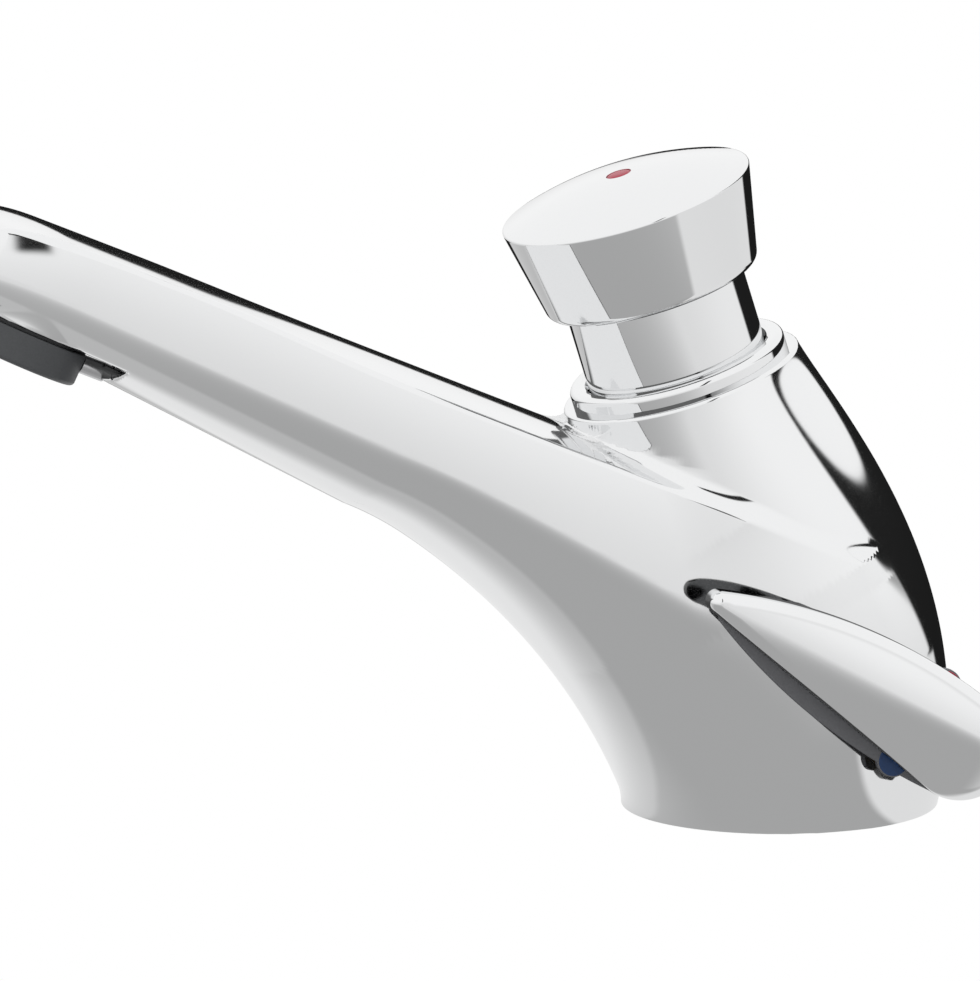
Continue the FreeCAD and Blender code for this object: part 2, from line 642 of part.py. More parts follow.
cartridge_radius = size.cartridge_bore_radius - size.seat_clearance
seat_hole = size.seat_radius + size.seat_clearance
seat_top = cartridge_bottom + size.seat_length
chamber_top = cartridge_top - size.chamber_roof
guide_bore = size.stem_radius + size.running_clearance
way_bore = size.seat_bore_radius
oring_seat = cartridge_radius - size.oring_wire_radius * 2
groove_half = size.oring_wire_radius + size.seat_clearance
cartridge_body = turned("cartridge_body", [
    (seat_hole, cartridge_bottom),
    (cartridge_radius, cartridge_bottom),
    (cartridge_radius, oring_low - groove_half),
    (oring_seat, oring_low - groove_half),
    (oring_seat, oring_low + groove_half),
    (cartridge_radius, oring_low + groove_half),
    (cartridge_radius, oring_high - groove_half),
    (oring_seat, oring_high - groove_half),
    (oring_seat, oring_high + groove_half),
    (cartridge_radius, oring_high + groove_half),
    (cartridge_radius, shoulder),
    (skirt_radius, shoulder),
    (skirt_radius, flange_top),
    (size.cartridge_barrel_radius, flange_top),
    (size.cartridge_barrel_radius, cartridge_top),
    (guide_bore, cartridge_top),
    (guide_bore, chamber_top),
    (size.chamber_radius, chamber_top),
    (size.chamber_radius, chamber_bottom),
    (way_bore, chamber_bottom),
    (way_bore, seat_top),
    (seat_hole, seat_top)], on_head_axis)

port_sketch = cartridge_body.newObject("Sketcher::SketchObject", "port_outline")
side_plane = [item for item in cartridge_body.Origin.OriginFeatures if item.Role == "XZ_Plane"][0]
port_sketch.AttachmentSupport = [(side_plane, "")]
port_sketch.MapMode = "FlatFace"
port_sketch.addGeometry(Part.Circle(vec(0, port_height.value, 0), UP, size.port_radius.value))
port_sketch.addConstraint(Sketcher.Constraint("PointOnObject", 0, 3, -2))
port_up = port_sketch.addConstraint(Sketcher.Constraint("DistanceY", -1, 1, 0, 3, port_height.value))
port_sketch.setExpression(f"Constraints[{port_up}]", port_height.text)
port_wide = port_sketch.addConstraint(Sketcher.Constraint("Radius", 0, size.port_radius.value))
port_sketch.setExpression(f"Constraints[{port_wide}]", size.port_radius.text)
port = cartridge_body.newObject("PartDesign::Pocket", "port")
port.Profile = port_sketch
bind(port, "Length", size.cartridge_bore_radius)
port.Type = 0
cartridge_body.Tip = port
doc.recompute()
ports = cartridge_body.newObject("PartDesign::PolarPattern", "ports")
ports.Originals = [port]
ports.Axis = (port_sketch, ["V_Axis"])
ports.Angle = 360
bind(ports, "Occurrences", size.port_count)
cartridge_body.Tip = ports
doc.recompute()

oring_mean = cartridge_radius - size.oring_wire_radius
low_ring = torus("low_ring", oring_mean, size.oring_wire_radius, oring_low, on_head_axis)
high_ring = torus("high_ring", oring_mean, size.oring_wire_radius, oring_high, on_head_axis)
cartridge_orings = doc.addObject("Part::Compound", "cartridge_orings")
cartridge_orings.Label = "cartridge_orings"
cartridge_orings.Links = [low_ring, high_ring]

valve_seat = turned("valve_seat", [
    (size.seat_bore_radius, cartridge_bottom),
    (size.seat_radius, cartridge_bottom),
    (size.seat_radius, seat_top),
    (size.seat_bore_radius, seat_top)], on_head_axis)

# Stem, washer, piston and spring

SEAT_GAP = 0.1
washer_top = cartridge_bottom - SEAT_GAP
washer_foot = washer_top - size.washer_thickness
cup_foot = washer_foot - size.washer_cup_depth
stem_top = button_high - size.button_top_thickness
push_stem = turned("push_stem", [
    (0, cup_foot),
    (size.washer_radius, cup_foot),
    (size.washer_radius, washer_foot),
    (size.stem_radius, washer_foot),
    (size.stem_radius, stem_top),
    (0, stem_top)], on_head_axis)

stem_hole = size.stem_radius + size.seat_clearance
seat_washer = turned("seat_washer", [
    (stem_hole, washer_foot),
    (size.washer_radius, washer_foot),
    (size.washer_radius, washer_top),
    (stem_hole, washer_top)], on_head_axis)

piston_foot = piston_top - size.piston_thickness
piston_radius = size.chamber_radius - size.running_clearance
piston_middle = piston_top - size.piston_thickness / 2
lip_half = size.lip_seal_radius + size.seat_clearance
lip_floor = piston_radius - size.lip_seal_radius * 2
timing_piston = turned("timing_piston", [
    (stem_hole, piston_foot),
    (piston_radius, piston_foot),
    (piston_radius, piston_middle - lip_half),
    (lip_floor, piston_middle - lip_half),
    (lip_floor, piston_middle + lip_half),
    (piston_radius, piston_middle + lip_half),
    (piston_radius, piston_top),
    (stem_hole, piston_top)], on_head_axis)

piston_lip_seal = torus("piston_lip_seal", piston_radius - size.lip_seal_radius, size.lip_seal_radius,
                        piston_middle, on_head_axis)

spring_foot = chamber_bottom + size.spring_wire_radius
spring_length = piston_foot - chamber_bottom - size.spring_wire_radius * 2
spring_line = doc.addObject("Part::Helix", "spring_line")
bind(spring_line, "Radius", size.spring_mean_radius)
bind(spring_line, "Height", spring_length)
bind(spring_line, "Pitch", spring_length / size.spring_turns)
spring_wire = doc.addObject("Part::Circle", "spring_wire")
bind(spring_wire, "Radius", size.spring_wire_radius)
spring_wire.Placement = FreeCAD.Placement(vec(size.spring_mean_radius.value, 0, 0),
                                          FreeCAD.Rotation(vec(1, 0, 0), 90))
doc.recompute()
return_spring = doc.addObject("Part::Sweep", "return_spring")
return_spring.Label = "return_spring"
return_spring.Sections = [spring_wire]
return_spring.Spine = (spring_line, [f"Edge{n}" for n in range(1, len(spring_line.Shape.Edges) + 1)])
return_spring.Solid = True
return_spring.Frenet = True
spring_base = vec(size.axis_foot.value, 0, 0) + head_direction * spring_foot.value
return_spring.Placement = facing(spring_base, head_direction)
doc.recompute()

# Button

mouth = size.sleeve_radius + size.button_gap
inside_top = button_high - size.button_top_thickness
boss_foot = inside_top - size.button_boss_length
mark_pit = size.mark_radius + size.seat_clearance
mark_floor = button_high + size.button_dome - size.mark_depth
DOME_SHARES = (0.93, 0.82, 0.68, 0.5, 0.32)
dome_line = [(size.button_top_radius * share, button_high + size.button_dome * (1 - share * share))
             for share in DOME_SHARES]
push_button = turned("push_button", [
    (stem_hole, boss_foot),
    (size.button_boss_radius, boss_foot),
    (size.button_boss_radius, inside_top),
    (size.button_top_radius - size.button_wall, inside_top),
    (size.button_low_radius - size.button_wall, button_low + size.button_wall),
    (mouth, button_low + size.button_wall),
    (mouth, button_low),
    (size.button_low_radius, button_low),
    (size.button_top_radius, button_high),
    *dome_line,
    (mark_pit, button_high + size.button_dome),
    (mark_pit, mark_floor),
    (0, mark_floor),
    (0, stem_top),
    (stem_hole, stem_top)], on_head_axis)
round_circles(push_button, [(size.button_low_radius, button_low)], size.button_lip_round)
round_circles(push_button, [(size.button_top_radius, button_high)], size.button_edge_round)

button_mark = turned("button_mark", [
    (0, mark_floor),
    (size.mark_radius, mark_floor),
    (size.mark_radius, button_high + size.button_dome),
    (0, button_high + size.button_dome + size.mark_depth / 10)], on_head_axis)

button_nut = turned("button_nut", [
    (stem_hole, boss_foot - size.nut_thickness),
    (size.nut_radius, boss_foot - size.nut_thickness),
    (size.nut_radius, boss_foot),
    (stem_hole, boss_foot)], on_head_axis)

# Mixing spindle, its bush and small parts; heights run out of the side of the casting

bush_inner = boss_face - size.bush_depth
flange_face = boss_face + size.bush_flange_thickness
plate_face = flange_face + size.plate_thickness
spindle_hole = size.spindle_radius + size.running_clearance
spindle_bush = turned("spindle_bush", [
    (spindle_hole, bush_inner),
    (size.bush_radius - size.seat_clearance, bush_inner),
    (size.bush_radius - size.seat_clearance, boss_face),
    (size.bush_flange_radius, boss_face),
    (size.bush_flange_radius, flange_face),
    (size.bush_spigot_radius, flange_face),
    (size.bush_spigot_radius, plate_face),
    (spindle_hole, plate_face)], on_spindle_axis)

SOCKET_SHARE = 0.6
ORING_SHARES = (0.3, 0.6)
lever_back = plate_face + size.lever_gap
lever_face = lever_back + size.lever_thickness
lever_socket = lever_back + size.lever_thickness * SOCKET_SHARE
spindle_groove = size.spindle_radius - size.spindle_oring_radius * 2
oring_one, oring_two = [bush_inner + size.bush_depth * share for share in ORING_SHARES]
ring_half = size.spindle_oring_radius + size.seat_clearance
spindle_blank = turned("spindle_blank", [
    (0, bush_inner - size.spindle_head_length),
    (size.spindle_head_radius, bush_inner - size.spindle_head_length),
    (size.spindle_head_radius, bush_inner - size.running_clearance),
    (size.spindle_radius, bush_inner - size.running_clearance),
    (size.spindle_radius, oring_one - ring_half),
    (spindle_groove, oring_one - ring_half),
    (spindle_groove, oring_one + ring_half),
    (size.spindle_radius, oring_one + ring_half),
    (size.spindle_radius, oring_two - ring_half),
    (spindle_groove, oring_two - ring_half),
    (spindle_groove, oring_two + ring_half),
    (size.spindle_radius, oring_two + ring_half),
    (size.spindle_radius, lever_back),
    (size.spindle_end_radius, lever_back),
    (size.spindle_end_radius, lever_socket),
    (0, lever_socket)], on_spindle_axis)
way_middle = pivot + lever_side * (bush_inner - size.spindle_head_length / 2).value
across = vec(1, 0, 0)
spindle_way = cylinder("spindle_way", size.spindle_way_radius, size.spindle_head_radius * 4,
                       facing(way_middle - across * (size.spindle_head_radius * 2).value, across))
mixing_spindle = cut("mixing_spindle", spindle_blank, spindle_way)
mixing_spindle.Label = "mixing_spindle"

ring_mean = size.spindle_radius - size.spindle_oring_radius
ring_one = torus("ring_one", ring_mean, size.spindle_oring_radius, oring_one, on_spindle_axis)
ring_two = torus("ring_two", ring_mean, size.spindle_oring_radius, oring_two, on_spindle_axis)
spindle_orings = doc.addObject("Part::Compound", "spindle_orings")
spindle_orings.Label = "spindle_orings"
spindle_orings.Links = [ring_one, ring_two]

# Index plate and lever share one teardrop outline

end_centre = (size.lever_end_back, -size.lever_end_drop)
tip_centre = (-size.lever_tip_reach, size.lever_tip_rise)
plate_share = size.plate_tip_share
plate_tip = (end_centre[0] + (tip_centre[0] - end_centre[0]) * plate_share,
             end_centre[1] + (tip_centre[1] - end_centre[1]) * plate_share)


def side_arc(tip_place, sweep, side):
    """Arc that runs tangent round both ends of the teardrop, on one side of its line."""
    (ex, ez), (tx, tz) = [(x.value, z.value) for x, z in (end_centre, tip_place)]
    span = math.hypot(ex - tx, ez - tz)
    heading = math.atan2(ez - tz, ex - tx)
    from_end = sweep.value - size.lever_end_radius.value
    from_tip = sweep.value - size.lever_tip_radius.value
    along = (from_tip ** 2 - from_end ** 2 + span ** 2) / (2 * span)
    aside = -side * math.sqrt(from_tip ** 2 - along ** 2)
    x = tx + along * math.cos(heading) - aside * math.sin(heading)
    z = tz + along * math.sin(heading) + aside * math.cos(heading)
    at_end = math.atan2(ez - z, ex - x)
    at_tip = math.atan2(tz - z, tx - x)
    return vec(x, z, 0), at_end, at_tip


def teardrop(sketch, tip_place, back_radius, belly_radius):
    """Outline of lever and plate: a round end and a small tip, with a swept edge to each side."""
    end, tip = [vec(x.value, z.value, 0) for x, z in (end_centre, tip_place)]
    back, back_end, back_tip = side_arc(tip_place, back_radius, 1)
    belly, belly_end, belly_tip = side_arc(tip_place, belly_radius, -1)
    turn = 2 * math.pi
    for centre, radius, start, stop in (
            (end, size.lever_end_radius, belly_end, back_end),
            (back, back_radius, back_end, back_tip),
            (tip, size.lever_tip_radius, back_tip, belly_tip),
            (belly, belly_radius, belly_tip, belly_end)):
        while stop < start:
            stop += turn
        sketch.addGeometry(Part.ArcOfCircle(Part.Circle(centre, UP, radius.value), start, stop))
    for first, second in ((0, 1), (1, 2), (2, 3), (3, 0)):
        sketch.addConstraint(Sketcher.Constraint("Tangent", first, 2, second, 1))
    bound = [(0, size.lever_end_radius), (1, back_radius), (2, size.lever_tip_radius), (3, belly_radius)]
    for number, amount in bound:
        index = sketch.addConstraint(Sketcher.Constraint("Radius", number, amount.value))
        sketch.setExpression(f"Constraints[{index}]", amount.text)
    for number, centre in ((0, end_centre), (2, tip_place)):
        for kind, amount in zip(("DistanceX", "DistanceY"), centre):
            index = sketch.addConstraint(Sketcher.Constraint(kind, -1, 1, number, 3, amount.value))
            sketch.setExpression(f"Constraints[{index}]", amount.text)


def flat_body(name):
    """A body on the lever's axis, with an empty sketch square to it."""
    body = doc.addObject("PartDesign::Body", name)
    body.Label = name
    sketch = body.newObject("Sketcher::SketchObject", name + "_outline")
    plane = [item for item in body.Origin.OriginFeatures if item.Role == "XY_Plane"][0]
    sketch.AttachmentSupport = [(plane, "")]
    sketch.MapMode = "FlatFace"
    on_spindle_axis(body)
    return body, sketch


def pad(body, sketch, name, low, thickness):
    """Raise a sketch from one height by a thickness."""
    bind(sketch, ".AttachmentOffset.Base.z", low)
    raised = body.newObject("PartDesign::Pad", name)
    raised.Profile = sketch
    bind(raised, "Length", thickness)
    body.Tip = raised
    doc.recompute()
    return raised


def mark_place(sign):
    """Centre of an index mark, in the lever's plane, to one side of the lever's line."""
    line = math.atan2(size.lever_tip_rise.value + size.lever_end_drop.value,
                      -size.lever_tip_reach.value - size.lever_end_back.value)
    spread = size.index_mark_spread.value * sign
    return vec(spread * math.sin(line), -spread * math.cos(line), 0)


plate_body, plate_sketch = flat_body("plate_blank")
teardrop(plate_sketch, plate_tip, size.lever_back_radius, size.plate_belly_radius)
pad(plate_body, plate_sketch, "plate_pad", flange_face, size.plate_thickness)
ears = []
pits = []
for side, sign in (("hot", 1), ("cold", -1)):
    ear = cylinder(f"ear_{side}", size.index_mark_radius + size.index_mark_rim, size.plate_thickness,
                   FreeCAD.Placement())
    off_spindle_axis(ear, mark_place(sign) + UP * flange_face.value)
    pit = cylinder(f"pit_{side}", size.index_mark_radius + size.seat_clearance,
                   size.index_mark_depth + CLEAR, FreeCAD.Placement())
    pit_floor = plate_face - size.index_mark_depth
    off_spindle_axis(pit, mark_place(sign) + UP * pit_floor.value)
    mark = cylinder(f"{side}_mark", size.index_mark_radius, size.index_mark_depth, FreeCAD.Placement())
    off_spindle_axis(mark, mark_place(sign) + UP * pit_floor.value)
    mark.Label = f"{side}_mark"
    ears.append(ear)
    pits.append(pit)
plate_hole = cylinder("plate_hole", size.bush_spigot_radius + size.seat_clearance, plate_face + CLEAR,
                      facing(pivot, lever_side))
index_plate = cut("index_plate", fuse("plate_with_ears", [plate_body] + ears),
                  fuse("plate_holes", pits + [plate_hole]))
index_plate.Label = "index_plate"
doc.recompute()

lever_body, lever_sketch = flat_body("lever_blank")
teardrop(lever_sketch, tip_centre, size.lever_back_radius, size.lever_belly_radius)
pad(lever_body, lever_sketch, "lever_pad", lever_back, size.lever_thickness)
lever_line = vec((tip_centre[0] - end_centre[0]).value, (tip_centre[1] - end_centre[1]).value, 0)
lever_line.normalize()
lever_reach = size.lever_tip_reach * 4
crown_roll = cylinder("lever_crown", size.lever_crown_radius, lever_reach, FreeCAD.Placement())
crown_foot = vec(end_centre[0].value, end_centre[1].value, (lever_face - size.lever_crown_radius).value)
crown_foot += vec(lever_line.y, -lever_line.x, 0) * size.lever_crown_aside.value
off_spindle_axis(crown_roll, crown_foot - lever_line * (lever_reach / 2).value)
crown_roll.Placement = crown_roll.Placement.multiply(
    FreeCAD.Placement(vec(0, 0, 0), FreeCAD.Rotation(UP, lever_line)))
crowned = doc.addObject("Part::Common", "crowned_lever")
crowned.Base = lever_body
crowned.Tool = crown_roll
doc.recompute()
face_edges = []
for index, edge in enumerate(crowned.Shape.Edges, start=1):
    if all(-vertex.Y > lever_back.value + size.lever_thickness.value / 4 for vertex in edge.Vertexes):
        face_edges.append((index, size.lever_round.value, size.lever_round.value))
rounded_lever = doc.addObject("Part::Fillet", "rounded_lever")
rounded_lever.Base = crowned
rounded_lever.Edges = face_edges
lever_hole = cylinder("lever_hole", size.spindle_end_radius + size.seat_clearance,
                      lever_socket + size.seat_clearance, facing(pivot, lever_side))
SCREW_SHARE = 0.35
screw_middle = lever_back + size.lever_thickness * SCREW_SHARE
screw_direction = vec(-end_centre[0].value, 0, -end_centre[1].value)
screw_direction.normalize()
screw_tip = pivot + lever_side * screw_middle.value - screw_direction * size.spindle_end_radius.value
screw_start = screw_tip - screw_direction * (size.lever_screw_length.value + size.seat_clearance.value)
screw_hole = cylinder("screw_hole", size.lever_screw_radius + size.seat_clearance,
                      size.lever_end_radius * 3,
                      facing(screw_tip - screw_direction * size.lever_end_radius.value * 3, screw_direction))
temperature_lever = cut("temperature_lever", rounded_lever, fuse("lever_holes", [lever_hole, screw_hole]))
temperature_lever.Label = "temperature_lever"
lever_screw = cylinder("lever_screw", size.lever_screw_radius, size.lever_screw_length,
                       facing(screw_start, screw_direction))
lever_screw.Label = "lever_screw"
doc.recompute()

# Aerator: ring with its threaded neck, straightener, seal, lock screw

ring_inner = size.aerator_bore_radius
screen_ledge = size.aerator_thread_length - size.aerator_screen_thickness
aerator_housing = turned("aerator_housing", [
    (ring_inner, -size.aerator_stand),
    (size.aerator_radius, -size.aerator_stand),
    (size.aerator_radius, 0),
    (size.aerator_thread_radius, 0),
    (size.aerator_thread_radius, size.aerator_thread_length),
    (ring_inner + size.seat_clearance, size.aerator_thread_length),
    (ring_inner + size.seat_clearance, screen_ledge),
    (ring_inner, screen_ledge)], on_aerator_axis)

screen_blank = turned("screen_blank", [
    (0, screen_ledge),
    (ring_inner - size.seat_clearance, screen_ledge),
    (ring_inner - size.seat_clearance, size.aerator_thread_length),
    (0, size.aerator_thread_length)], on_aerator_axis)

screen_holes = []
for ring_share, count in ((0.0, 1), (0.38, 6), (0.76, 12)):
    for number in range(count):
        turn_angle = 2 * math.pi * number / count
        spot = vec(math.cos(turn_angle), math.sin(turn_angle), 0) * (ring_inner * ring_share).value
        hole = cylinder(f"screen_hole_{len(screen_holes)}", size.screen_hole_radius,
                        size.aerator_thread_length * 2, FreeCAD.Placement())
        on_aerator_axis(hole)
        hole.Placement.Base = hole.Placement.multVec(spot)
        screen_holes.append(hole)
aerator_screen = cut("aerator_screen", screen_blank, fuse("screen_ways", screen_holes))
aerator_screen.Label = "aerator_screen"

aerator_seal = turned("aerator_seal", [
    (ring_inner - size.aerator_seal_thickness * 2, size.aerator_thread_length),
    (size.aerator_thread_radius, size.aerator_thread_length),
    (size.aerator_thread_radius, socket_depth),
    (ring_inner - size.aerator_seal_thickness * 2, socket_depth)], on_aerator_axis)

aerator_lock_screw = cylinder("aerator_lock_screw", size.lock_screw_radius, size.lock_screw_length,
                              facing(lock_start, spout_direction))
aerator_lock_screw.Label = "aerator_lock_screw"
doc.recompute()

# Write each piece to its own file

PIECES = [
    tap_body, gasket, collar_ring, neck_sleeve, cartridge_body, cartridge_orings, valve_seat,
    push_stem, seat_washer, timing_piston, piston_lip_seal, return_spring,
    push_button, button_mark, button_nut,
    spindle_bush, mixing_spindle, spindle_orings, index_plate, temperature_lever, lever_screw,
    aerator_housing, aerator_screen, aerator_seal, aerator_lock_screw,
    doc.getObject("hot_mark"), doc.getObject("cold_mark"),
]

for item in doc.Objects:
    if "Invalid" in item.State or "Error" in item.State:
        raise RuntimeError(f"{item.Name} failed: {item.State}")
for piece in PIECES:
    shape = piece.Shape
    if shape.isNull() or not shape.isValid() or not shape.Solids:
        raise RuntimeError(f"{piece.Label} has no valid solid")
    shape.exportStep(f"parts/{piece.Label}.step")
    print(f"{piece.Label}: {len(shape.Solids)} solid(s), {shape.Volume:.1f} mm3")
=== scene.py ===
import json
import math

import bmesh
import bpy
import numpy as np
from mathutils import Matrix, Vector


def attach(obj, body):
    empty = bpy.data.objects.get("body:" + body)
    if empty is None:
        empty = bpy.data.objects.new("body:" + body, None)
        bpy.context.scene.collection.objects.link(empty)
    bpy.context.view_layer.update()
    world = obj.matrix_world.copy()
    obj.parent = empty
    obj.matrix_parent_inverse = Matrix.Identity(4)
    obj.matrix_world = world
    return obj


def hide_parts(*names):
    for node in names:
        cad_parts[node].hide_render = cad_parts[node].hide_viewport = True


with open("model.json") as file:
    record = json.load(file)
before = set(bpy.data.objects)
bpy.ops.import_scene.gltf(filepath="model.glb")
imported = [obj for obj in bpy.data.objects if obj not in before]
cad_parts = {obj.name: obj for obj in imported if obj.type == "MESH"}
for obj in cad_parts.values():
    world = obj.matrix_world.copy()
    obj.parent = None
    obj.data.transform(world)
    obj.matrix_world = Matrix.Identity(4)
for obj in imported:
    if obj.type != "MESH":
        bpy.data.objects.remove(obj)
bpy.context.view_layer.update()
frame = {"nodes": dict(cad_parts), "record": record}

# Casting: one piece of chrome-plated brass, a leaning tower on a round base with the spout swept
# out of it. Rays from a point inside stop where the blended solids end, so the valley between
# spout and tower is one smooth skin. Lengths here are in millimetres, angles of the bend in degrees.

MM = 0.001
TILT = math.radians(17.2)
HEAD_AXIS = np.array([-math.sin(TILT), 0.0, math.cos(TILT)])
HEAD_FOOT = np.array([5.2, 0.0, 0.0])
BASE_RADIUS, RIM_RADIUS, RIM_HEIGHT = 25.0, 19.2, 73.0
BULGE_DEEP, BULGE_WIDE = 3.1, 1.6
BULGE_SKEW, BULGE_PEAK = 1.4, 0.1956

SPOUT_TURN = math.radians(66.5)
SPOUT_OUT = np.array([math.cos(SPOUT_TURN), 0.0, math.sin(SPOUT_TURN)])
SPOUT_AHEAD = np.array([-math.sin(SPOUT_TURN), 0.0, math.cos(SPOUT_TURN)])
SWEEP_CENTRE = np.array([-95.0, 0.0, 0.0])
SPOUT_LENGTH = 76.0
ROOT_RADIUS = BASE_RADIUS - 0.8
CROWN_OFFSET, THROAT_OFFSET, THROAT_DEGREES = 81.2, 57.3, 55
BACK_SINK, BACK_DEGREES = 6.0, 20
BEND_WIDTH, NOSE_TAPER = 18.8, 4.8
NOSE_SLIM, SLIM_FROM = 1.4, 0.75
THROAT_RISE = 7.3
NOSE_DROP, DROP_FROM = 3.0, 0.8
CREASE_ROOT, CREASE_HEAD, CREASE_DEGREES = 0.6, 0.96, 31
CROWN_ROOT, CROWN_HEAD, CROWN_FALL, CROWN_SHARE = 12.0, 1.95, 1.3, 0.55
CREASE_ROUND, NOSE_ROUND = 0.7, 4.5

VALLEY_FOOT, VALLEY_RISE = 4.0, 36.0
VALLEY_SOFT, VALLEY_SOFTER = 0.6, 3.6
VALLEY_FADE, VALLEY_LEAST = 7.0, 0.08
TOWER_ABOVE_RIM = 5.0
OUTLET_LEAN = math.radians(25.3)
OUTLET_UP = np.array([math.sin(OUTLET_LEAN), 0.0, math.cos(OUTLET_LEAN)])
OUTLET_AHEAD = np.array([-math.cos(OUTLET_LEAN), 0.0, math.sin(OUTLET_LEAN)])
OUTLET_STATION, OUTLET_FACE, OUTLET_STEP = 60.4, 64.9, 44.5
OUTLET_BOSS, OUTLET_BOSS_HEIGHT, OUTLET_BOSS_SOFT = 12.5, 7.0, 1.2
OUTLET_ROUND = 0.35
SLOPE_STEP = 0.02


def spout_point(along, offset):
    """A point in the middle plane: along the straight spout, and out from the sweep's centre."""
    return SWEEP_CENTRE + SPOUT_AHEAD * along + SPOUT_OUT * offset


def ellipse_reach(across, up, half_width, half_height):
    """Signed distance to an ellipse, to first order: (rho - 1) / |slope of rho|."""
    a, b = across / half_width, up / half_height
    rho = np.maximum(np.hypot(a, b), 1e-6)
    return (rho - 1) * rho / np.hypot(a / half_width, b / half_height).clip(1e-9)


def round_inside(a, b, radius):
    """Where two solids overlap: the larger reach, with the edge between them rounded."""
    u, v = np.maximum(a + radius, 0), np.maximum(b + radius, 0)
    return np.minimum(np.maximum(a, b), -radius) + np.hypot(u, v)


def blend(a, b, soft):
    """Two solids as one: the smaller reach, less near^2 * soft / 4 where the two are close."""
    near = np.maximum(soft - np.abs(a - b), 0) / soft
    return np.minimum(a, b) - near * near * soft / 4


def ease(share):
    """A smooth step from 0 to 1: 3 share^2 - 2 share^3."""
    return share * share * (3 - 2 * share)


def tower_reach(p):
    """Tower: ellipses on the planes of a fan that is hinged in front of the tap, on the deck.

    Their radii go from the base's to the rim's, with a bulge of share * (1 - share)^skew.
    """
    x, y, z = p.T
    rim = HEAD_FOOT + HEAD_AXIS * RIM_HEIGHT
    hinge = rim[0] - rim[2] / math.tan(TILT)
    front = -hinge - BASE_RADIUS
    rim_front = math.hypot(rim[0] - hinge, rim[2]) - RIM_RADIUS
    angle = np.arctan2(z, x - hinge)
    share = np.clip(angle / TILT, 0, 1)
    beyond = (x - hinge) * math.cos(TILT) + z * math.sin(TILT)
    reach = np.where(angle < 0, x - hinge, np.where(angle > TILT, beyond, np.hypot(x - hinge, z)))
    bulge = share * (1 - share) ** BULGE_SKEW / BULGE_PEAK
    plain = BASE_RADIUS + (RIM_RADIUS - BASE_RADIUS) * share
    depth, width = plain + BULGE_DEEP * bulge, plain + BULGE_WIDE * bulge
    centre = front + (rim_front - front) * share + depth
    return ellipse_reach(reach - centre, y, depth, width)


def spout_reach(p):
    """Spout: a section that is swept round the bend and then straight to the nose.

    The section is an ellipse below and at the sides, cut off by the arc of a crown on top. inner
    and outer are the offsets of its throat and its crown from the sweep's centre; crease is how
    far out the crown meets the sides, as a share of the half width.
    """
    x, y, z = p.T
    bend = np.clip(np.arctan2(z, x - SWEEP_CENTRE[0]), 0, SPOUT_TURN)
    degrees = np.degrees(bend)
    along = (p - SWEEP_CENTRE) @ SPOUT_AHEAD
    share = np.clip(along / SPOUT_LENGTH, 0, 1)
    straight = along > 0

    front = -SWEEP_CENTRE[0] - ROOT_RADIUS
    inner = THROAT_OFFSET + (front - THROAT_OFFSET) * np.clip(1 - degrees / THROAT_DEGREES, 0, 1) ** 2
    hidden = -SWEEP_CENTRE[0] + ROOT_RADIUS - BACK_SINK * np.minimum(1, degrees / BACK_DEGREES) ** 2
    outer = np.minimum(CROWN_OFFSET / np.cos(SPOUT_TURN - bend), hidden)
    half_width = ROOT_RADIUS + (BEND_WIDTH - ROOT_RADIUS) * bend / SPOUT_TURN
    crease = CREASE_ROOT + (CREASE_HEAD - CREASE_ROOT) * np.minimum(1, degrees / CREASE_DEGREES)
    crown = np.maximum((1 - crease) * CROWN_ROOT, CROWN_HEAD)
    ring = np.where(z < 0, x - SWEEP_CENTRE[0], np.hypot(x - SWEEP_CENTRE[0], z))

    drop = np.clip((share - DROP_FROM) / (1 - DROP_FROM), 0, 1) ** 2
    slim = np.clip((share - SLIM_FROM) / (1 - SLIM_FROM), 0, 1) ** 2
    nose_width = BEND_WIDTH - NOSE_TAPER * share - NOSE_SLIM * slim
    nose_crown = CROWN_HEAD - CROWN_FALL * ease(np.minimum(share / CROWN_SHARE, 1))
    inner = np.where(straight, THROAT_OFFSET + THROAT_RISE * share, inner)
    outer = np.where(straight, CROWN_OFFSET - NOSE_DROP * drop, outer)
    half_width = np.where(straight, nose_width, half_width)
    crease = np.where(straight, CREASE_HEAD, crease)
    crown = np.where(straight, nose_crown, crown)

    up = np.where(straight, (p - SWEEP_CENTRE) @ SPOUT_OUT, ring) - inner
    height = outer - inner
    middle = height / 2
    wall = (height - crown - middle) / np.sqrt(1 - crease ** 2)
    sides = ellipse_reach(y, up - middle, half_width, np.where(up > middle, wall, middle))
    crown_radius = ((crease * half_width) ** 2 + crown ** 2) / (2 * crown)
    top = np.hypot(y, np.maximum(up - height + crown_radius, 0)) - crown_radius
    return round_inside(round_inside(sides, top, CREASE_ROUND), along - SPOUT_LENGTH, NOSE_ROUND)


def above_rim(p):
    """Height over the plane of the tower's rim."""
    return (p - HEAD_FOOT) @ HEAD_AXIS - RIM_HEIGHT


def off_axis(p):
    """Distance from the head's leaning axis."""
    return np.linalg.norm(np.cross(p - HEAD_FOOT, HEAD_AXIS), axis=-1)


